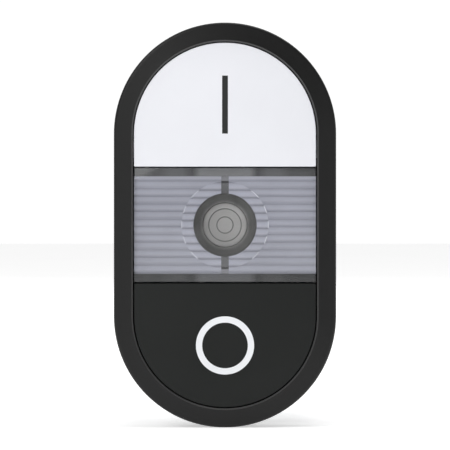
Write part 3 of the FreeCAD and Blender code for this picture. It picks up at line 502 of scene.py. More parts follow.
def optics(colours, head):
    """The materials of the frame and the lens, each with its own recipe and its values."""
    inner = FRAME_RADIUS - head.rim
    return {
        # polyamide moulded in a sand-blasted tool: an even satin black that holds soft lights,
        # with a painted highlight on the window's chamfer
        "satin_polyamide": (window_polyamide_painted_highlight, colours.frame, colours.window, inner,
                            head.rim_chamfer),
        # thin wall of polished polycarbonate: nothing but a faint gloss
        "clear_polycarbonate": (clear_polycarbonate,),
        # moulded prisms: pale blue-grey stripes of painted shade and highlight, a sharp dark line
        # and then a soft one
        "prismatic_polycarbonate_painted_shade": (prismatic_polycarbonate_painted_shade, colours.optic, head.rib_pitch,
                                    FIELD_VALLEY, FIELD_PAINTED_SHADING),
        # the boss shifts the same painted shading a little down: all its lines are sharp
        "prismatic_polycarbonate_boss": (prismatic_polycarbonate_painted_shade, colours.optic,
                                         head.rib_pitch, BOSS_VALLEY, BOSS_PAINTED_SHADING),
        # polished polycarbonate over the lens's feet: grey, the lower band darker, with a painted
        # shadow of each foot as a soft dark patch
        "smooth_polycarbonate_upper": (band_with_painted_shadows, "7B7C7E", "4C4D4F", "656668", "535455"),
        "smooth_polycarbonate_lower": (band_with_painted_shadows, "5C5D5F", "292A2B", "404142", "313233"),
        # polished polycarbonate over the dark tray, without ribs: plain grey
        "smooth_polycarbonate_web": (web_polycarbonate,),
        # cut edge of polished polycarbonate: a bright hair line, a painted glint that is
        # brightest towards the upper right
        "polycarbonate_edge_painted_glint": (painted_glint_edge,),
        # satin polyamide inside the funnel: grey, with painted light near the rod at its foot and
        # painted highlights on two sides
        "satin_polyamide_funnel": (funnel_plastic_painted_light,),
        # acrylic with a blasted end: milky and pale, with painted shade at its two steps and a
        # painted glow near its rim
        "frosted_acrylic": (frosted_acrylic,),
    }


def finish(name):
    """The object's material of that name, made the first time that it is asked for."""
    if name in bpy.data.materials:
        return bpy.data.materials[name]
    colours = bpy.context.scene.pushbutton_colours
    mouldings = plastics(colours)
    if name in mouldings:
        colour, roughness, more = mouldings[name]
        return moulded(name, colour, roughness, **more)
    if name in METALS:
        colour, roughness, more = METALS[name]
        return metal(name, colour, roughness, **more)
    recipe, *values = optics(colours, bpy.context.scene.pushbutton_head)[name]
    return recipe(name, *values)


# ---------------------------------------------------------------- mesh helpers


def at(*place):
    """A point given in millimetres."""
    return Vector(place) * MM


class Pen:
    """Draws an outline with a travelling vertex: straight runs are extruded, arcs are spun."""

    def __init__(self, bm, start):
        self.bm = bm
        self.tip = bm.verts.new(start)

    def run(self, *points):
        """Straight runs from point to point."""
        for point in points:
            made = bmesh.ops.extrude_vert_indiv(self.bm, verts=[self.tip])
            self.tip = made["verts"][0]
            self.tip.co = point

    def arc(self, centre, axis, angle, steps):
        """An arc about an axis through the centre."""
        made = bmesh.ops.spin(self.bm, geom=[self.tip], cent=centre, axis=axis, angle=angle,
                              steps=steps, use_duplicate=False)
        self.tip = next(g for g in made["geom_last"] if isinstance(g, bmesh.types.BMVert))

    def close(self):
        """Merges the tip with the start, where the last run ended."""
        bmesh.ops.remove_doubles(self.bm, verts=self.bm.verts, dist=MERGE)


def thicken(bm, faces, shift):
    """Extrudes faces by a shift, and gives the far faces; the near ones stay."""
    made = bmesh.ops.extrude_face_region(bm, geom=faces)
    bmesh.ops.translate(
        bm, verts=[g for g in made["geom"] if isinstance(g, bmesh.types.BMVert)], vec=shift)
    return [g for g in made["geom"] if isinstance(g, bmesh.types.BMFace)]


def sink(bm, face, wall, shift):
    """A pocket in a face: a wall is left round it, and its floor moves by the shift."""
    bmesh.ops.inset_region(bm, faces=[face], thickness=wall, use_even_offset=True)
    floor = thicken(bm, [face], shift)
    if face.is_valid:
        bmesh.ops.delete(bm, geom=[face], context="FACES_ONLY")
    return floor


def soften(bm, edges, width, segments=4):
    """Rounds edges."""
    bmesh.ops.bevel(bm, geom=edges, offset=width, offset_type="OFFSET", affect="EDGES",
                    segments=segments, profile=0.5, material=-1, clamp_overlap=True)


def edges_at(bm, test):
    """The edges whose two ends pass the test."""
    return [e for e in bm.edges if all(test(v.co) for v in e.verts)]


def block(bm, low, high):
    """A box between two corners."""
    size = high - low
    place = Matrix.Translation((low + high) / 2) @ Matrix.Diagonal((*size, 1))
    return bmesh.ops.create_cube(bm, size=1, matrix=place)["verts"]


def turned(bm, profile, steps=2 * ARC_STEPS):
    """A closed profile of radius and level, turned a whole turn about the device's axis."""
    pen = Pen(bm, at(profile[0][0], profile[0][1], 0))
    pen.run(*[at(radius, level, 0) for radius, level in profile[1:]])
    pen.run(at(profile[0][0], profile[0][1], 0))
    pen.close()
    bmesh.ops.spin(bm, geom=bm.verts[:] + bm.edges[:], cent=(0, 0, 0), axis=FRONT,
                   angle=FULL_TURN, steps=steps, use_merge=True, use_duplicate=False)
    bmesh.ops.remove_doubles(bm, verts=bm.verts, dist=MERGE)


def new_object(bm, name):
    """The mesh as an object, with its faces pointing outwards."""
    bmesh.ops.remove_doubles(bm, verts=bm.verts, dist=MERGE)
    bmesh.ops.recalc_face_normals(bm, faces=bm.faces)
    mesh = bpy.data.meshes.new(name)
    bm.to_mesh(mesh)
    bm.free()
    piece = bpy.data.objects.new(name, mesh)
    bpy.context.scene.collection.objects.link(piece)
    return piece


def carve(piece, cutter, operation="DIFFERENCE"):
    """Applies a Boolean of the cutter to the piece, and removes the cutter."""
    tool = piece.modifiers.new("carve", "BOOLEAN")
    tool.object = cutter
    tool.operation = operation
    tool.solver = "EXACT"
    bpy.context.view_layer.update()
    depsgraph = bpy.context.evaluated_depsgraph_get()
    carved = bpy.data.meshes.new_from_object(piece.evaluated_get(depsgraph))
    piece.modifiers.clear()
    piece.data = carved
    bpy.data.objects.remove(cutter)
    if not carved.polygons:
        raise RuntimeError("%s has nothing left after a cut" % piece.name)


def settle(piece, material, body, slot, *nodes, angle=35):
    """Shading, material and body, and hides the CAD nodes that the piece stands for. slot is not
    used.
    """
    piece.data.materials.clear()
    piece.data.materials.append(finish(material))
    piece.data.shade_smooth()
    piece.data.set_sharp_from_angle(angle=math.radians(angle))
    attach(piece, body)
    if nodes:
        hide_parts(*nodes)
    return piece


def dress(finishes):
    """Gives CAD nodes their materials."""
    for name, nodes in finishes.items():
        for node in nodes:
            for slot in frame["nodes"][node].material_slots:
                slot.material = finish(name)


# ---------------------------------------------------------------- front pieces


FRAME_RADIUS = BEZEL_HIGH.x
FRAME_CENTRE = BEZEL_HIGH.z - FRAME_RADIUS  # height of the end arcs' centres
FRAME_FRONT = BEZEL_LOW.y
FRAME_BACK = BEZEL_HIGH.y
FRAME_WALL = 1.2 * MM
FRAME_FOOT = 0.15 * MM  # chamfer where the frame meets the panel
LIP_BACK = -8.0 * MM  # back of the lip that stands over the tray's wall

CAP_RADIUS = FRAME_RADIUS - 2.7 * MM
CAP_BASE = CAP_LOW.z  # the straight edge beside the lens
CAP_FRONT = CAP_LOW.y
CAP_BACK = CAP_HIGH.y
CAP_INSIDE = CAP_FRONT + 1.4 * MM  # ceiling of the hollow cap
CAP_CORNER = 0.12 * MM  # rounding of the two corners beside the lens
LEG_HALF = 2.2 * MM  # half width and top of the gap that the push rod's leg comes through
LEG_TOP = 9.1 * MM
POST_PLACE = 17.0 * MM  # height of the post that centres the return spring
POST_SIZE = (2.7 * MM, 2.6 * MM, 0.6 * MM)  # its radius at the foot and the tip, and its length
TAB = (at(10.9, -7.4, 8.95), at(12.75, -6.1, 11.35))  # a tab that keeps the cap in the frame
RING_WIDTH = 0.84  # stroke of the stop ring, in millimetres

LENS_HALF_WIDTH = 12.15 * MM
LENS_HALF_HEIGHT = LENS_HIGH.z
LENS_FRONT = LENS_LOW.y
COVER_BACK = LENS_FRONT + 0.22 * MM
COVER_EDGE = 0.08 * MM
PLATE_BACK = -7.8 * MM
BOSS_RADIUS = 5.8 * MM
MOUTH_RADIUS = 4.23 * MM
WEB_HALF = 0.5 * MM
WEB_START = 4.0 * MM  # the web begins inside the mouth, which is then cut out of it
FIELD_VALLEY = -0.2 * MM  # height of one of the ribs' valleys
BOSS_VALLEY = FIELD_VALLEY - 0.25 * MM
RIB_LEVEL = LENS_FRONT + 0.56 * MM  # valley between two ribs of the field
BAND_RISE = 0.2 * MM  # how far the smooth bands stand out from that valley
BAND_EDGE = 0.1 * MM
BOSS_LIFT = 0.10 * MM
CUT = (-11 * MM, -6 * MM)  # front and back of the tools that cut through the lens
BAR_HEIGHTS = (-0.42 * MM, 0.50 * MM)  # bottom and top of a raised bar, from its middle
SLIVER = (-0.06, 0.04, 0.07, 0.2)  # its edge: inside, front, back and depth, in millimetres

# radius and level of the funnel's lining, in millimetres
FUNNEL_LINING = ((4.22, -7.32), (4.12, -7.32), (3.02, -3.22), (3.09, -3.22))
GUIDE_STEPS = (1.1, 2.2)  # radii of the light guide's two steps, in millimetres
GUIDE_STEP, GUIDE_GROOVE = 0.15, 0.05  # their height, and the width of the groove at each
GUIDE_RADIUS = 3.0


def make_frame_ring(head):
    """The frame: one profile carried round the obround, with a soft outer edge."""
    bm = bmesh.new()
    inner = FRAME_RADIUS - head.rim
    top = FRAME_CENTRE
    soft = head.rim_round
    shoulder = FRAME_FRONT + head.rim_slope
    pen = Pen(bm, Vector((inner + head.rim_chamfer, FRAME_FRONT, top)))
    pen.run(Vector((FRAME_RADIUS - soft, shoulder, top)))
    pen.arc(Vector((FRAME_RADIUS - soft, shoulder + soft, top)), (0, 0, 1), QUARTER_TURN, 8)
    pen.run(Vector((FRAME_RADIUS, FRAME_BACK - FRAME_FOOT, top)),
            Vector((FRAME_RADIUS - FRAME_FOOT, FRAME_BACK, top)),
            Vector((FRAME_RADIUS - FRAME_WALL, FRAME_BACK, top)),
            Vector((FRAME_RADIUS - FRAME_WALL, LIP_BACK, top)),
            Vector((inner, LIP_BACK, top)),
            Vector((inner, FRAME_FRONT + head.rim_chamfer, top)),
            Vector((inner + head.rim_chamfer, FRAME_FRONT, top)))
    pen.close()
    for centre, drop in ((top, -2 * top), (-top, 2 * top)):
        ends = [g for g in bm.verts if abs(g.co.z - centre) < MERGE and g.co.x * centre > 0]
        joins = [e for e in bm.edges if all(v in ends for v in e.verts)]
        made = bmesh.ops.spin(bm, geom=ends + joins, cent=(0, 0, centre), axis=FRONT,
                              angle=HALF_TURN, steps=ARC_STEPS, use_duplicate=False)
        last = [g for g in made["geom_last"] if isinstance(g, bmesh.types.BMEdge)]
        made = bmesh.ops.extrude_edge_only(bm, edges=last)
        far = [g for g in made["geom"] if isinstance(g, bmesh.types.BMVert)]
        bmesh.ops.translate(bm, verts=far, vec=(0, 0, drop))
        bmesh.ops.remove_doubles(bm, verts=bm.verts, dist=MERGE)
    settle(new_object(bm, "frame_ring"), "satin_polyamide", "head", "bezel_plastic",
           "front_bezel")


def make_cap(name, side, head, material, body, slot, node, sign_cutter):
    """A hollow cap, its spring post and its two tabs; side is 1 above the lens, -1 below."""
    bm = bmesh.new()
    width, centre = CAP_RADIUS, CAP_HIGH.z - CAP_RADIUS
    pen = Pen(bm, Vector((-width, CAP_FRONT, CAP_BASE)))
    pen.run(Vector((width, CAP_FRONT, CAP_BASE)), Vector((width, CAP_FRONT, centre)))
    pen.arc((0, CAP_FRONT, centre), FRONT, HALF_TURN, ARC_STEPS)
    pen.run(Vector((-width, CAP_FRONT, CAP_BASE)))
    pen.close()
    bmesh.ops.contextual_create(bm, geom=bm.edges[:])
    thicken(bm, bm.faces[:], (0, CAP_BACK - CAP_FRONT, 0))
    corners = [e for e in bm.edges if abs(e.verts[0].co.z - CAP_BASE) < MERGE
               and abs(e.verts[1].co.z - CAP_BASE) < MERGE
               and abs(e.verts[0].co.x - e.verts[1].co.x) < MERGE]
    soften(bm, corners, CAP_CORNER, 3)
    back = max((f for f in bm.faces if abs(f.normal.y) > 0.99),
               key=lambda f: f.calc_center_median().y)
    sink(bm, back, head.cap_wall, (0, CAP_INSIDE - CAP_BACK, 0))
    soften(bm, edges_at(bm, lambda p: abs(p.y - CAP_FRONT) < MERGE), head.cap_bevel, 4)
    cap = new_object(bm, name)
    notch = bmesh.new()
    block(notch, Vector((-LEG_HALF, CAP_INSIDE, CAP_BASE - MM)),
          Vector((LEG_HALF, CAP_BACK + MM, LEG_TOP)))
    carve(cap, new_object(notch, "leg_notch"))
    carve(cap, sign_cutter())
    extras = bmesh.new()
    extras.from_mesh(cap.data)
    foot, tip, length = POST_SIZE
    post = Matrix.Translation((0, CAP_INSIDE + length / 2, POST_PLACE)) @ Matrix.Rotation(
        QUARTER_TURN, 4, "X")
    bmesh.ops.create_cone(extras, cap_ends=True, segments=48, radius1=foot, radius2=tip,
                          depth=length, matrix=post)
    for turn in (1, -1):
        low, high = TAB
        if turn < 0:
            low, high = Vector((-high.x, low.y, low.z)), Vector((-low.x, high.y, high.z))
        block(extras, low, high)
    if side < 0:
        bmesh.ops.rotate(extras, cent=(0, 0, 0), matrix=Matrix.Rotation(HALF_TURN, 3, "Y"),
                         verts=extras.verts)
    bmesh.ops.recalc_face_normals(extras, faces=extras.faces)
    extras.to_mesh(cap.data)
    extras.free()
    settle(cap, material, body, slot, node, angle=28)


def bar_cutter():
    """The straight recess for the start cap's bar."""
    low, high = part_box("start_symbol")
    bm = bmesh.new()
    block(bm, Vector((low.x, CAP_FRONT - MM, low.z)), Vector((high.x, high.y, high.z)))
    return new_object(bm, "bar_cutter")


def ring_cutter():
    """The round recess for the stop cap's ring, drawn above the lens as the cap is."""
    low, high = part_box("stop_symbol")
    outer, centre = high.x / MM, -(low.z + high.z) / 2
    front, back = CAP_FRONT / MM - 1, high.y / MM
    inner = outer - RING_WIDTH
    bm = bmesh.new()
    turned(bm, [(inner, front), (outer, front), (outer, back), (inner, back)])
    bmesh.ops.translate(bm, verts=bm.verts, vec=(0, 0, centre))
    return new_object(bm, "ring_cutter")


def ribbed_slab(head, low, high, level, first):
    """A slab across the lens whose front is a row of convex ribs; first is a valley's height."""
    bm = bmesh.new()
    pitch, rise = head.rib_pitch, head.rib_rise
    radius = pitch * pitch / (8 * rise) + rise / 2
    angle = 2 * math.asin(pitch / 2 / radius)
    left = -LENS_HALF_WIDTH
    foot = first - pitch * math.ceil((first - low) / pitch)
    count = math.ceil((high - foot) / pitch)
    pen = Pen(bm, Vector((left, PLATE_BACK, foot)))
    pen.run(Vector((left, level, foot)))
    for index in range(count):
        middle = foot + (index + 0.5) * pitch
        pen.arc((left, level - rise + radius, middle), (-1, 0, 0), angle, 10)
    pen.run(Vector((left, PLATE_BACK, foot + count * pitch)), Vector((left, PLATE_BACK, foot)))
    pen.close()
    bmesh.ops.contextual_create(bm, geom=bm.edges[:])
    thicken(bm, bm.faces[:], (2 * LENS_HALF_WIDTH, 0, 0))
    for height, way in ((low, -1), (high, 1)):
        bmesh.ops.bisect_plane(bm, geom=bm.verts[:] + bm.edges[:] + bm.faces[:],
                               plane_co=(0, 0, height), plane_no=(0, 0, way), dist=1e-7,
                               clear_outer=True)
        bmesh.ops.holes_fill(bm, edges=[e for e in bm.edges if e.is_boundary], sides=0)
    return bm


def ring_tool(inner, outer, name):
    """A ring, or a disc where inner is nothing, deep enough to cut the lens."""
    bm = bmesh.new()
    front, back = CUT
    if inner:
        turned(bm, [(radius / MM, level / MM) for radius, level in (
            (inner, front), (outer, front), (outer, back), (inner, back))])
    else:
        place = Matrix.Translation((0, (front + back) / 2, 0)) @ Matrix.Rotation(
            QUARTER_TURN, 4, "X")
        bmesh.ops.create_cone(bm, cap_ends=True, segments=2 * ARC_STEPS, radius1=outer,
                              radius2=outer, depth=back - front, matrix=place)
    return new_object(bm, name)


def web_tool():
    """A bar the width of the web, which cuts the ribs apart."""
    bm = bmesh.new()
    reach = 1.2 * LENS_HALF_HEIGHT
    block(bm, Vector((-WEB_HALF, CUT[0], -reach)), Vector((WEB_HALF, CUT[1], reach)))
    return new_object(bm, "web_tool")


def make_lens(head):
    """The ribbed lens: field, boss, web, bands and clear cover."""
    edge = LENS_HALF_HEIGHT - head.band
    field = new_object(ribbed_slab(head, -edge, edge, RIB_LEVEL, FIELD_VALLEY), "lens_field")
    carve(field, ring_tool(0, BOSS_RADIUS, "boss_tool"))
    carve(field, web_tool())
    settle(field, "prismatic_polycarbonate_painted_shade", "head", "lens_clear", "indicator_lens", angle=20)

    boss = new_object(ribbed_slab(head, -edge, edge, RIB_LEVEL - BOSS_LIFT, BOSS_VALLEY),
                      "lens_boss")
    carve(boss, ring_tool(MOUTH_RADIUS, BOSS_RADIUS, "boss_ring"), "INTERSECT")
    carve(boss, web_tool())
    settle(boss, "prismatic_polycarbonate_boss", "head", "lens_clear", "indicator_lens", angle=20)

    bm = bmesh.new()
    for way in (1, -1):
        low, high = sorted((way * WEB_START, way * edge))
        block(bm, Vector((-WEB_HALF, RIB_LEVEL, low)), Vector((WEB_HALF, PLATE_BACK, high)))
    web = new_object(bm, "lens_web")
    carve(web, ring_tool(0, MOUTH_RADIUS, "mouth_tool"))
    settle(web, "smooth_polycarbonate_web", "head", "lens_clear", "indicator_lens")

    for name, way in (("upper", 1), ("lower", -1)):
        bm = bmesh.new()
        low, high = sorted((way * edge, way * (LENS_HALF_HEIGHT - 0.02 * MM)))
        block(bm, Vector((-LENS_HALF_WIDTH, RIB_LEVEL - BAND_RISE, low)),
              Vector((LENS_HALF_WIDTH, PLATE_BACK, high)))
        soften(bm, edges_at(bm, lambda p: p.y < RIB_LEVEL), BAND_EDGE, 3)
        settle(new_object(bm, "lens_band_" + name), "smooth_polycarbonate_" + name, "head",
               "lens_clear", "indicator_lens")

    bm = bmesh.new()
    block(bm, Vector((-LENS_HALF_WIDTH, LENS_FRONT, -LENS_HALF_HEIGHT)),
          Vector((LENS_HALF_WIDTH, COVER_BACK, LENS_HALF_HEIGHT)))
    soften(bm, edges_at(bm, lambda p: p.y < LENS_FRONT + MERGE), COVER_EDGE, 3)
    settle(new_object(bm, "lens_cover"), "clear_polycarbonate", "head", "lens_clear",
           "indicator_lens")


def make_boss_glints(head):
    """The polished edge of the boss, as slivers with painted glints only where a raised bar ends.
    """
    bm = bmesh.new()
    front = (RIB_LEVEL - BOSS_LIFT - head.rib_rise) / MM - 0.02
    radius = BOSS_RADIUS / MM
    inside, near, far, depth = SLIVER
    corners = [at(radius + out, front + back, 0) for out, back in (
        (inside, 0), (near, 0), (far, depth), (inside, depth), (inside, 0))]
    for row in range(-2, 3):
        start, end = (math.asin((2 * row * head.rib_pitch + height) / BOSS_RADIUS)
                      for height in BAR_HEIGHTS)
        for begin in (start, HALF_TURN - end):
            arc = bmesh.new()
            pen = Pen(arc, corners[0])
            pen.run(*corners[1:])
            pen.close()
            bmesh.ops.contextual_create(arc, geom=arc.edges[:])
            bmesh.ops.rotate(arc, cent=(0, 0, 0), verts=arc.verts,
                             matrix=Matrix.Rotation(begin, 3, FRONT))
            bmesh.ops.spin(arc, geom=arc.faces[:] + arc.edges[:], cent=(0, 0, 0), axis=FRONT,
                           angle=end - start, steps=8, use_duplicate=False)
            sliver = bpy.data.meshes.new("sliver")
            arc.to_mesh(sliver)
            arc.free()
            bm.from_mesh(sliver)
            bpy.data.meshes.remove(sliver)
    settle(new_object(bm, "boss_glints"), "polycarbonate_edge_painted_glint", "head", "lens_clear",
           "indicator_lens", angle=30)


def make_light_path():
    """The funnel's satin lining and the stepped light guide at its foot."""
    bm = bmesh.new()
    turned(bm, FUNNEL_LINING)
    settle(new_object(bm, "funnel_lining"), "satin_polyamide_funnel", "head",
           "housing_plastic")
    level, back = GUIDE_LOW.y / MM, GUIDE_HIGH.y / MM
    bm = bmesh.new()
    pen = Pen(bm, at(0, level, 0))
    for radius in GUIDE_STEPS:
        pen.run(at(radius - GUIDE_GROOVE, level, 0))
        level += GUIDE_STEP
        pen.run(at(radius, level + GUIDE_GROOVE, 0), at(radius + GUIDE_GROOVE, level, 0))
    pen.run(*[at(GUIDE_RADIUS + out, deep, 0) for out, deep in (
        (-0.25, level), (-0.06, level + 0.06), (0, level + 0.25), (0, back - 0.2),
        (-0.2, back), (-GUIDE_RADIUS, back))])
    bmesh.ops.spin(bm, geom=bm.verts[:] + bm.edges[:], cent=(0, 0, 0), axis=FRONT,
                   angle=FULL_TURN, steps=2 * ARC_STEPS, use_merge=True, use_duplicate=False)
    settle(new_object(bm, "guide_rod"), "frosted_acrylic", "head", "guide_clear", "light_guide",
           angle=25)


# ---------------------------------------------------------------- rear pieces


def soften_node(name, node, body, slot, material, width, extra=None):
    """A merged copy of a CAD node, its sharp edges rounded as a mould or cutter leaves them."""
    bm = bmesh.new()
    bm.from_mesh(frame["nodes"][node].data)
    bmesh.ops.remove_doubles(bm, verts=bm.verts, dist=MERGE)
    bmesh.ops.dissolve_limit(bm, angle_limit=math.radians(1), verts=bm.verts, edges=bm.edges)
    sharp = [e for e in bm.edges
             if len(e.link_faces) == 2 and e.calc_face_angle() > math.radians(30)]
    soften(bm, sharp, width, 2)
    if extra:
        extra(bm)
    settle(new_object(bm, name), material, body, slot, node, angle=40)


def grip_ridges(bm):
    """Ridges across both faces of the lever's thumb tab."""
    low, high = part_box("lock_lever")
    half = at(1.2, 0.13, 0.14)
    for index in range(4):
        for face in (low.y, high.y):
            middle = Vector(((low.x + high.x) / 2, face, high.z - (1.3 + 0.6 * index) * MM))
            block(bm, middle - half, middle + half)


def stroke(bm, start, end, width, face, rise):
    """A raised straight stroke on a block's side, between two points of depth and height."""
    start, end = Vector(start) * MM, Vector(end) * MM
    run = end - start
    root = math.copysign(0.1 * MM, rise)
    place = (Matrix.Translation((face + (rise - root) / 2, *((start + end) / 2)))
             @ Matrix.Rotation(math.atan2(run.y, run.x), 4, "X"))
    size = Matrix.Diagonal((abs(rise + root), run.length + width, width, 1))
    bmesh.ops.create_cube(bm, size=1, matrix=place @ size)


# depth and height of each stroke's ends: the usual signs for make, break and lamp
SIGNS = {
    "make": [((24, 0), (28, 0)), ((28, 0), (33.2, 2.6)), ((33, 0), (37, 0))],
    "break": [((24, 0), (28, 0)), ((28, 0), (34, 2.4)), ((33.2, 0), (37, 0)),
              ((33.2, 0), (33.2, 2.6))],
    "lamp": [((24, 0), (28, 0)), ((28.4, -2), (32.6, 2)), ((28.4, 2), (32.6, -2)),
             ((33, 0), (37, 0))],
}


SIGN_WIDTH, SIGN_RISE = 0.7 * MM, 0.22 * MM
PANEL_MARGIN, PANEL_DEPTH = 1.5 * MM, 0.25 * MM  # the sunk panel of a cover
LATCH_HEIGHTS = (-10.5, 10.5)  # middles of a cover's latch windows, in millimetres
LATCH_HALF, LATCH_DEPTHS = 1.6, (20.6, 22.0)
GRIP_FROM, GRIP_PITCH, GRIP_ENDS = 38.3, 0.45, (5.0, 11.5)  # the ridges at a cover's rear
GRIP_WIDTH, GRIP_RISE = 0.2 * MM, 0.18 * MM
NUMBER_SIZE, NUMBER_RISE = 2.6 * MM, 0.06 * MM
NUMBERS = {"3": ("start", 1), "4": ("start", -1), "1": ("stop", 1), "2": ("stop", -1),
           "X1": ("lamp", 1), "X2": ("lamp", -1)}
NUMBER_HEIGHT = 8.0 * MM  # middle of the upper numbers


def make_sign(sign, way, panel, ink, slot):
    """The contact's sign: raised strokes joined into one, with ink on them."""
    pieces = []
    for start, end in SIGNS[sign]:
        bm = bmesh.new()
        stroke(bm, start, end, SIGN_WIDTH, panel, SIGN_RISE * way)
        pieces.append(new_object(bm, sign + "_sign"))
    for other in pieces[1:]:
        carve(pieces[0], other, "UNION")
    settle(pieces[0], ink, "rear_unit", slot, angle=30)


def make_block_cover(name, way, sign, material, ink, slot, node):
    """A snap-in cover: sunk panel, latch windows, grip ridges and the contact's sign."""
    low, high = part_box(node)
    face, back = (high.x, low.x) if way > 0 else (low.x, high.x)
    bm = bmesh.new()
    block(bm, low, high)
    outer = max(bm.faces, key=lambda f: f.calc_center_median().x * way)
    sink(bm, outer, PANEL_MARGIN, (-PANEL_DEPTH * way, 0, 0))
    soften(bm, [e for e in bm.edges if all(abs(v.co.x - face) < MERGE for v in e.verts)],
           0.1 * MM, 3)
    cover = new_object(bm, name)
    windows = bmesh.new()
    for height in LATCH_HEIGHTS:
        side = sorted((face / MM + way, back / MM - way))
        block(windows, at(side[0], LATCH_DEPTHS[0], height - LATCH_HALF),
              at(side[1], LATCH_DEPTHS[1], height + LATCH_HALF))
    carve(cover, new_object(windows, "latch_windows"))
    raised = bmesh.new()
    raised.from_mesh(cover.data)
    panel = face - PANEL_DEPTH * way
    for index in range(6):
        depth = GRIP_FROM + GRIP_PITCH * index
        for end in (-1, 1):
            stroke(raised, (depth, GRIP_ENDS[0] * end), (depth, GRIP_ENDS[1] * end),
                   GRIP_WIDTH, panel, GRIP_RISE * way)
    bmesh.ops.recalc_face_normals(raised, faces=raised.faces)
    raised.to_mesh(cover.data)
    raised.free()
    settle(cover, material, "rear_unit", slot, node, angle=25)
    make_sign(sign, way, panel, ink, slot)


def make_springs():
    """Copies of the coil springs, each with its own mesh."""
    for node, joint, body in (("start_return_spring", "start_press", "head"),
                              ("stop_return_spring", "stop_press", "head"),
                              ("start_block_spring", "make_plunger_slide", "rear_unit"),
                              ("stop_block_spring", "break_plunger_slide", "rear_unit")):
        bm = bmesh.new()
        bm.from_mesh(frame["nodes"][node].data)
        coil = settle(new_object(bm, node + "_coil"), "drawn_spring_steel", body,
                      "spring_steel", node, angle=40)
        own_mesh(coil)


def make_numbers():
    """Terminal numbers on the blocks' rear walls, raised a little beside the driver holes."""
    for label, (block_name, side) in NUMBERS.items():
        node = block_name + "_block_housing"
        low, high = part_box(node)
        curve = bpy.data.curves.new("number", "FONT")
        curve.body = label
        curve.size = NUMBER_SIZE
        curve.extrude = NUMBER_RISE
        curve.align_x = "CENTER"
        curve.align_y = "CENTER"
        text = bpy.data.objects.new("number", curve)
        bpy.context.scene.collection.objects.link(text)
        bpy.context.view_layer.update()
        depsgraph = bpy.context.evaluated_depsgraph_get()
        mesh = bpy.data.meshes.new_from_object(text.evaluated_get(depsgraph))
        bpy.data.objects.remove(text)
        mesh.transform(
            Matrix.Translation(((low.x + high.x) / 2, high.y, side * NUMBER_HEIGHT))
            @ Matrix.Rotation(HALF_TURN, 4, "Z") @ Matrix.Rotation(QUARTER_TURN, 4, "X"))
        piece = bpy.data.objects.new("terminal_number_" + label, mesh)
        bpy.context.scene.collection.objects.link(piece)
        settle(piece, "pad_printed_ink", "rear_unit", "block_plastic", angle=30)


# ---------------------------------------------------------------- stage


FLOOR_RADIUS = 6.0
LAMPS = (  # name, place, diameter in metres, power in watts
    ("key", (-0.85, -0.9, 0.95), 0.9, 6.6),
    ("side", (-0.34, -1.0, 0.36), 0.3, 1.2),
    ("top", (0.15, 0.1, 1.3), 0.9, 4.0),
    ("right", (1.1, -0.5, 0.3), 0.7, 0.3),
    ("rear", (0.5, 1.2, 0.6), 0.9, 3.0),
)
CAMERA_AWAY = 0.6  # from the frame's front
CAMERA_VIEW = 0.06004  # width seen at that distance
SENSOR = 36  # millimetres


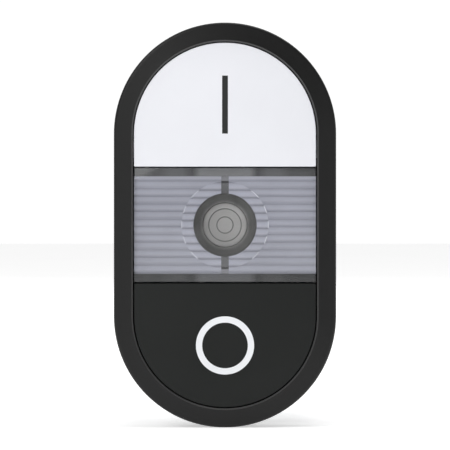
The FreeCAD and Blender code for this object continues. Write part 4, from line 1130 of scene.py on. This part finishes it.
def make_stage():
    """A pale floor, a soft key from the upper left, a low fill and the camera."""
    material, tree = blank("matt_paint")
    place = add_node(tree, "ShaderNodeTexCoord")
    speckle = add_node(tree, "ShaderNodeTexNoise", {"Scale": 1 / (60 * MM), "Detail": 2.0},
                       {"Vector": place.outputs["Object"]})
    tint = add_node(tree, "ShaderNodeValToRGB",
                    {"stops": [(0.3, linear("F6F6F6")), (0.7, linear("FCFCFC"))]},
                    {"Fac": speckle.outputs["Fac"]})
    shader = add_node(tree, "ShaderNodeBsdfPrincipled",
                      {"Roughness": 0.9, "Specular IOR Level": 0.1,
                       "Emission Color": linear("FFFFFF"), "Emission Strength": 0.5},
                      {"Base Color": tint.outputs["Color"]})
    add_node(tree, "ShaderNodeOutputMaterial", links={"Surface": shader.outputs["BSDF"]})
    bm = bmesh.new()
    bmesh.ops.create_circle(bm, cap_ends=True, segments=96, radius=FLOOR_RADIUS,
                            matrix=Matrix.Translation((0, 0, CAD_BOX[0][2])))
    floor = new_object(bm, "floor")
    floor.data.materials.append(material)

    world = bpy.data.worlds.new("studio")
    world.use_nodes = True
    tree = world.node_tree
    tree.nodes.clear()
    place = add_node(tree, "ShaderNodeTexCoord")
    split = add_node(tree, "ShaderNodeSeparateXYZ", links={"Vector": place.outputs["Generated"]})
    depth = add_node(tree, "ShaderNodeMapRange",
                     {"From Min": -1.0, "From Max": 0.6, "To Min": 0.27, "To Max": 0.75},
                     {"Value": split.outputs["Y"]})
    room = add_node(tree, "ShaderNodeBackground", links={"Strength": depth.outputs["Result"]})
    sky = add_node(tree, "ShaderNodeBackground", {"Color": linear("FFFFFF"), "Strength": 1.05})
    path = add_node(tree, "ShaderNodeLightPath")
    mixed = add_node(tree, "ShaderNodeMixShader",
                     links={0: path.outputs["Is Camera Ray"], 1: room.outputs["Background"],
                            2: sky.outputs["Background"]})
    add_node(tree, "ShaderNodeOutputWorld", links={"Surface": mixed.outputs["Shader"]})
    bpy.context.scene.world = world

    for name, spot, size, power in LAMPS:
        light = bpy.data.lights.new(name, "AREA")
        light.shape = "DISK"
        light.size = size
        light.energy = power
        lamp = bpy.data.objects.new(name, light)
        lamp.location = spot
        lamp.rotation_euler = (-Vector(spot)).to_track_quat("-Z", "Y").to_euler()
        bpy.context.scene.collection.objects.link(lamp)

    camera = bpy.data.cameras.new("camera")
    camera.lens = SENSOR * CAMERA_AWAY / CAMERA_VIEW
    camera.sensor_width = SENSOR
    camera.clip_end = 20
    viewer = bpy.data.objects.new("camera", camera)
    viewer.location = (0, FRAME_FRONT - CAMERA_AWAY, 0)
    viewer.rotation_euler = (QUARTER_TURN, 0, 0)
    bpy.context.scene.collection.objects.link(viewer)
    bpy.context.scene.camera = viewer
    bpy.context.scene.view_settings.view_transform = "Standard"


# ---------------------------------------------------------------- operators


class FrameRing(bpy.types.Operator):
    """Make the frame round the caps"""

    bl_idname = "pushbutton.frame_ring"
    bl_label = "Frame"

    def execute(self, context):
        make_frame_ring(context.scene.pushbutton_head)
        return {"FINISHED"}


class Caps(bpy.types.Operator):
    """Make the start and stop caps"""

    bl_idname = "pushbutton.caps"
    bl_label = "Caps"

    def execute(self, context):
        head = context.scene.pushbutton_head
        make_cap("start_cap", 1, head, "polished_abs_white", "start_actuator", "start_cap",
                 "start_button", bar_cutter)
        make_cap("stop_cap", -1, head, "satin_abs_black", "stop_actuator", "stop_cap",
                 "stop_button", ring_cutter)
        dress({"second_shot_abs_grey": ["start_symbol"],
               "second_shot_abs_white": ["stop_symbol"]})
        return {"FINISHED"}


class Lens(bpy.types.Operator):
    """Make the ribbed indicator lens"""

    bl_idname = "pushbutton.lens"
    bl_label = "Indicator lens"

    def execute(self, context):
        head = context.scene.pushbutton_head
        make_lens(head)
        make_boss_glints(head)
        return {"FINISHED"}


class LightPath(bpy.types.Operator):
    """Make the funnel's lining and the light guide"""

    bl_idname = "pushbutton.light_path"
    bl_label = "Light path"

    def execute(self, context):
        make_light_path()
        return {"FINISHED"}


class Body(bpy.types.Operator):
    """Finish the housing, seals, rods and fixings"""

    bl_idname = "pushbutton.body"
    bl_label = "Housing and fixings"

    def execute(self, context):
        soften_node("clamp_nut", "ring_nut", "nut", "nut_metal", "tumbled_zinc", 0.15 * MM)
        soften_node("adapter_body", "fixing_adapter", "rear_unit", "adapter_plastic",
                    "glass_filled_polyamide", 0.15 * MM)
        soften_node("thumb_lever", "lock_lever", "lever", "lever_plastic",
                    "satin_polyamide_orange", 0.12 * MM, grip_ridges)
        dress({
            "eroded_polyamide": ["switch_housing"],
            "nitrile_rubber": ["panel_gasket"],
            "silicone_rubber": ["start_wiper_seal", "stop_wiper_seal"],
            "natural_acetal": ["start_push_rod", "stop_push_rod"],
            "ground_steel": ["lever_pin"],
        })
        return {"FINISHED"}


class Blocks(bpy.types.Operator):
    """Finish the contact and lamp blocks"""

    bl_idname = "pushbutton.blocks"
    bl_label = "Contact and lamp blocks"

    def execute(self, context):
        sides = ("start_block", "stop_block", "lamp_block")
        for side in sides:
            soften_node(side + "_body", side + "_housing", "rear_unit", "block_plastic",
                        "eroded_polycarbonate_grey", 0.12 * MM)
        make_block_cover("make_cover", -1, "make", "satin_polyamide_green",
                         "pad_printed_ink_white", "make_cover", "start_block_cover")
        make_block_cover("break_cover", 1, "break", "satin_polyamide_red",
                         "pad_printed_ink_white", "break_cover", "stop_block_cover")
        make_block_cover("lamp_cover", 1, "lamp", "satin_polyamide_white",
                         "pad_printed_ink", "lamp_cover", "lamp_block_cover")
        make_numbers()
        make_springs()
        dress({
            "satin_polyamide_green": ["start_block_stem"],
            "satin_polyamide_red": ["stop_block_stem"],
            "stamped_brass": ["start_block_bridge", "stop_block_bridge"],
            "tinned_brass": [s + "_terminals" for s in sides],
            "passivated_zinc": [s + part for s in sides for part in ("_screws", "_clamps")],
            "cast_epoxy": ["lamp_block_led"],
            "solder_mask": ["lamp_block_board"],
        })
        return {"FINISHED"}


class Stage(bpy.types.Operator):
    """Make the floor, the lights and the camera"""

    bl_idname = "pushbutton.stage"
    bl_label = "Stage"

    def execute(self, context):
        make_stage()
        return {"FINISHED"}


STEPS = (Stage, FrameRing, Caps, Lens, LightPath, Body, Blocks)


class PushbuttonPanel(bpy.types.Panel):
    """Lists the steps that build the pushbutton"""

    bl_idname = "VIEW3D_PT_pushbutton"
    bl_label = "Double pushbutton"
    bl_space_type = "VIEW_3D"
    bl_region_type = "UI"
    bl_category = "Pushbutton"

    def draw(self, context):
        for group in (context.scene.pushbutton_head, context.scene.pushbutton_colours):
            box = self.layout.box()
            for name in group.__annotations__:
                box.prop(group, name)
        for step in STEPS:
            self.layout.operator(step.bl_idname)


CLASSES = (PushbuttonHead, PushbuttonColours, *STEPS, PushbuttonPanel)


def register():
    """Registers the classes and the settings that they read."""
    for cls in CLASSES:
        bpy.utils.register_class(cls)
    bpy.types.Scene.pushbutton_head = bpy.props.PointerProperty(type=PushbuttonHead)
    bpy.types.Scene.pushbutton_colours = bpy.props.PointerProperty(type=PushbuttonColours)


def unregister():
    """Removes what register added."""
    del bpy.types.Scene.pushbutton_colours
    del bpy.types.Scene.pushbutton_head
    for cls in reversed(CLASSES):
        bpy.utils.unregister_class(cls)


def main():
    """Builds every piece."""
    register()
    for step in STEPS:
        group, name = step.bl_idname.split(".")
        getattr(getattr(bpy.ops, group), name)()


if __name__ == "__main__":
    main()
